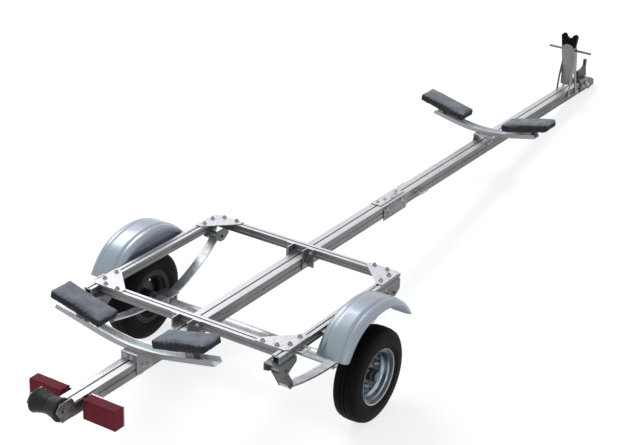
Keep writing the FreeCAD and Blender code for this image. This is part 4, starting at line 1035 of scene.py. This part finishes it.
bolts = {
    "gussets": [(-443, 364), (-438, 429), (-401, 465), (-328, 463), (391, 364), (388, 430), (345, 464),
                (282, 462)],
    "gussetTop": 274.0,
    "spliceTop": [(1040, 14), (1088, 4), (1128, -12), (1175, -3), (1205, 12)],
    "beamTop": 236.0,
    "sides": [(1040, 38.5, 212, 0.85), (1063, 38.5, 184, 0.85), (1177, 38.5, 212, 0.85),
              (1207, 38.5, 184, 0.85), (-776, 38.7, 207, 0.9), (-740, 38.7, 195, 0.9),
              (2052, 38.7, 224, 0.9), (2082, 38.7, 226, 0.9), (3215, 38.7, 209, 1.15),
              (3262, 38.7, 214, 1.3), (3290, 38.7, 196, 1.0), (3028, 38.7, 208, 0.85),
              (3128, 38.7, 203, 0.85), (344, 39.7, 200, 0.9), (-476, 39.7, 200, 0.9)],
    "brackets": [(361, 57, 251, 0.85), (-459, 57, 251, 0.85)]}
domeHead = {"Head Width": 0.0205, "Head Height": 0.0085, "Crown": 0.42, "Sides": 20, "Washer Width": 0.0212,
            "Tip Length": 0.0}
hexHead = {"Head Width": 0.0165, "Head Height": 0.0068, "Washer Width": 0.0215, "Tip Length": 0.0045}


def allBolts():
    domes, heads = [], []
    for side in (1, -1):
        domes += [((x, y * side, bolts["gussetTop"]), (0, 0, 1), 1.0) for x, y in bolts["gussets"]]
        heads += [((x, y * side, z), (0, side, 0), size) for x, y, z, size in bolts["sides"]]
        heads += [((x, y * side, z), (-1, 0, 0), size) for x, y, z, size in bolts["brackets"]]
    heads += [((x, y, bolts["beamTop"]), (0, 0, 1), 0.8) for x, y in bolts["spliceTop"]]
    heads += [((saddleEnd["x"][0], y, saddleEnd["boltsUp"]), (-1, 0, 0), 0.85) for y in saddleEnd["bolts"]]
    fasteners("gussetDomes", domes, "chassis", domeZinc, domeHead)
    fasteners("frameBolts", heads, "chassis", brightZinc, hexHead)


allBolts()
print("bolts set")

# The place the photograph was taken from, in the trailer's level frame
shot = {"place": (-5000, -3482, 3349), "right": (0.536, -0.843, 0.044), "up": (0.348, 0.267, 0.899),
        "lens": 92.04, "shiftX": -0.0452, "shiftY": 0.0468}
view = bpy.data.cameras.new("photoView")
view.sensor_width, view.sensor_fit, view.lens = 36.0, "HORIZONTAL", shot["lens"]
view.shift_x, view.shift_y = shot["shiftX"], shot["shiftY"]
view.clip_start, view.clip_end = 0.1, 200.0
eye = linked("photoView", view)
right = parkedWay(*shot["right"])
back = right.cross(parkedWay(*shot["up"])).normalized()
above = back.cross(right).normalized()
eye.matrix_world = (Matrix.Translation(parked(*shot["place"]))
                    @ Matrix((right, above, back)).transposed().to_4x4())
bpy.context.scene.camera = eye

studio = {"floor": 0.62, "floorGlow": 0.74, "reach": 45,
          "world": (0.80, 0.84, 0.90, 1), "worldStrength": 0.36,
          "key": 260.0, "keyPlace": (2.0, 5.0, 6.5), "keySize": 5.0,
          "fill": 30.0, "fillPlace": (-6.0, -5.5, 4.0), "fillSize": 4.0, "aim": (0.2, 0, 0.2)}


def backdropShare(graph):
    # One for rays that see the backdrop straight, in a gloss or through glass
    path = graph.tree.nodes.new("ShaderNodeLightPath")
    seen, shiny, through = (Term(graph, path.outputs[f"Is {kind} Ray"])
                            for kind in ("Camera", "Glossy", "Transmission"))
    return seen.orMore(shiny).orMore(through)


reach = studio["reach"]
floorMesh = bpy.data.meshes.new("studioFloor")
floorMesh.from_pydata([(-reach, -reach, 0), (reach, -reach, 0), (reach, reach, 0), (-reach, reach, 0)],
                      [], [(0, 1, 2, 3)])
floor = linked("studioFloor", floorMesh)
paper = Finish("studioPaper", (0.9, 0.9, 0.9))
dust = paper.noise(2.0, 2.0)
sheet = paper.add("ShaderNodeBsdfDiffuse", None, {
    "Color": paper.tint(dust, (studio["floor"],) * 3, (studio["floor"] * 0.99,) * 3)})
glow = paper.add("ShaderNodeEmission", None, {
    "Color": (1, 1, 1, 1), "Strength": studio["floorGlow"] * backdropShare(paper)})
both = paper.add("ShaderNodeAddShader", None, {0: sheet, 1: glow})
paper.add("ShaderNodeOutputMaterial", None, {"Surface": both})
floorMesh.materials.append(paper.material)

world = bpy.data.worlds.new("studioWorld")
bpy.context.scene.world = world
world.use_nodes = True
world.node_tree.nodes.clear()
sky = Graph(world.node_tree)
share = backdropShare(sky)
soft = sky.add("ShaderNodeBackground", None, {"Color": studio["world"], "Strength": studio["worldStrength"]})
white = sky.add("ShaderNodeBackground", None, {"Color": (1, 1, 1, 1), "Strength": 1.0})
mixed = sky.add("ShaderNodeMixShader", None, {0: share, 1: soft, 2: white})
sky.add("ShaderNodeOutputWorld", None, {"Surface": mixed})


def softLight(name):
    light = bpy.data.lights.new(f"{name}Light", "AREA")
    size, place = studio[f"{name}Size"], Vector(studio[f"{name}Place"])
    light.energy, light.shape, light.size, light.size_y = studio[name], "RECTANGLE", size, size * 0.6
    holder = linked(light.name, light)
    holder.location = place
    holder.rotation_mode = "QUATERNION"
    holder.rotation_quaternion = (place - Vector(studio["aim"])).to_track_quat("Z", "Y")


softLight("key")
softLight("fill")
bpy.context.scene.view_settings.view_transform = "Standard"
print("camera, floor and lights set")
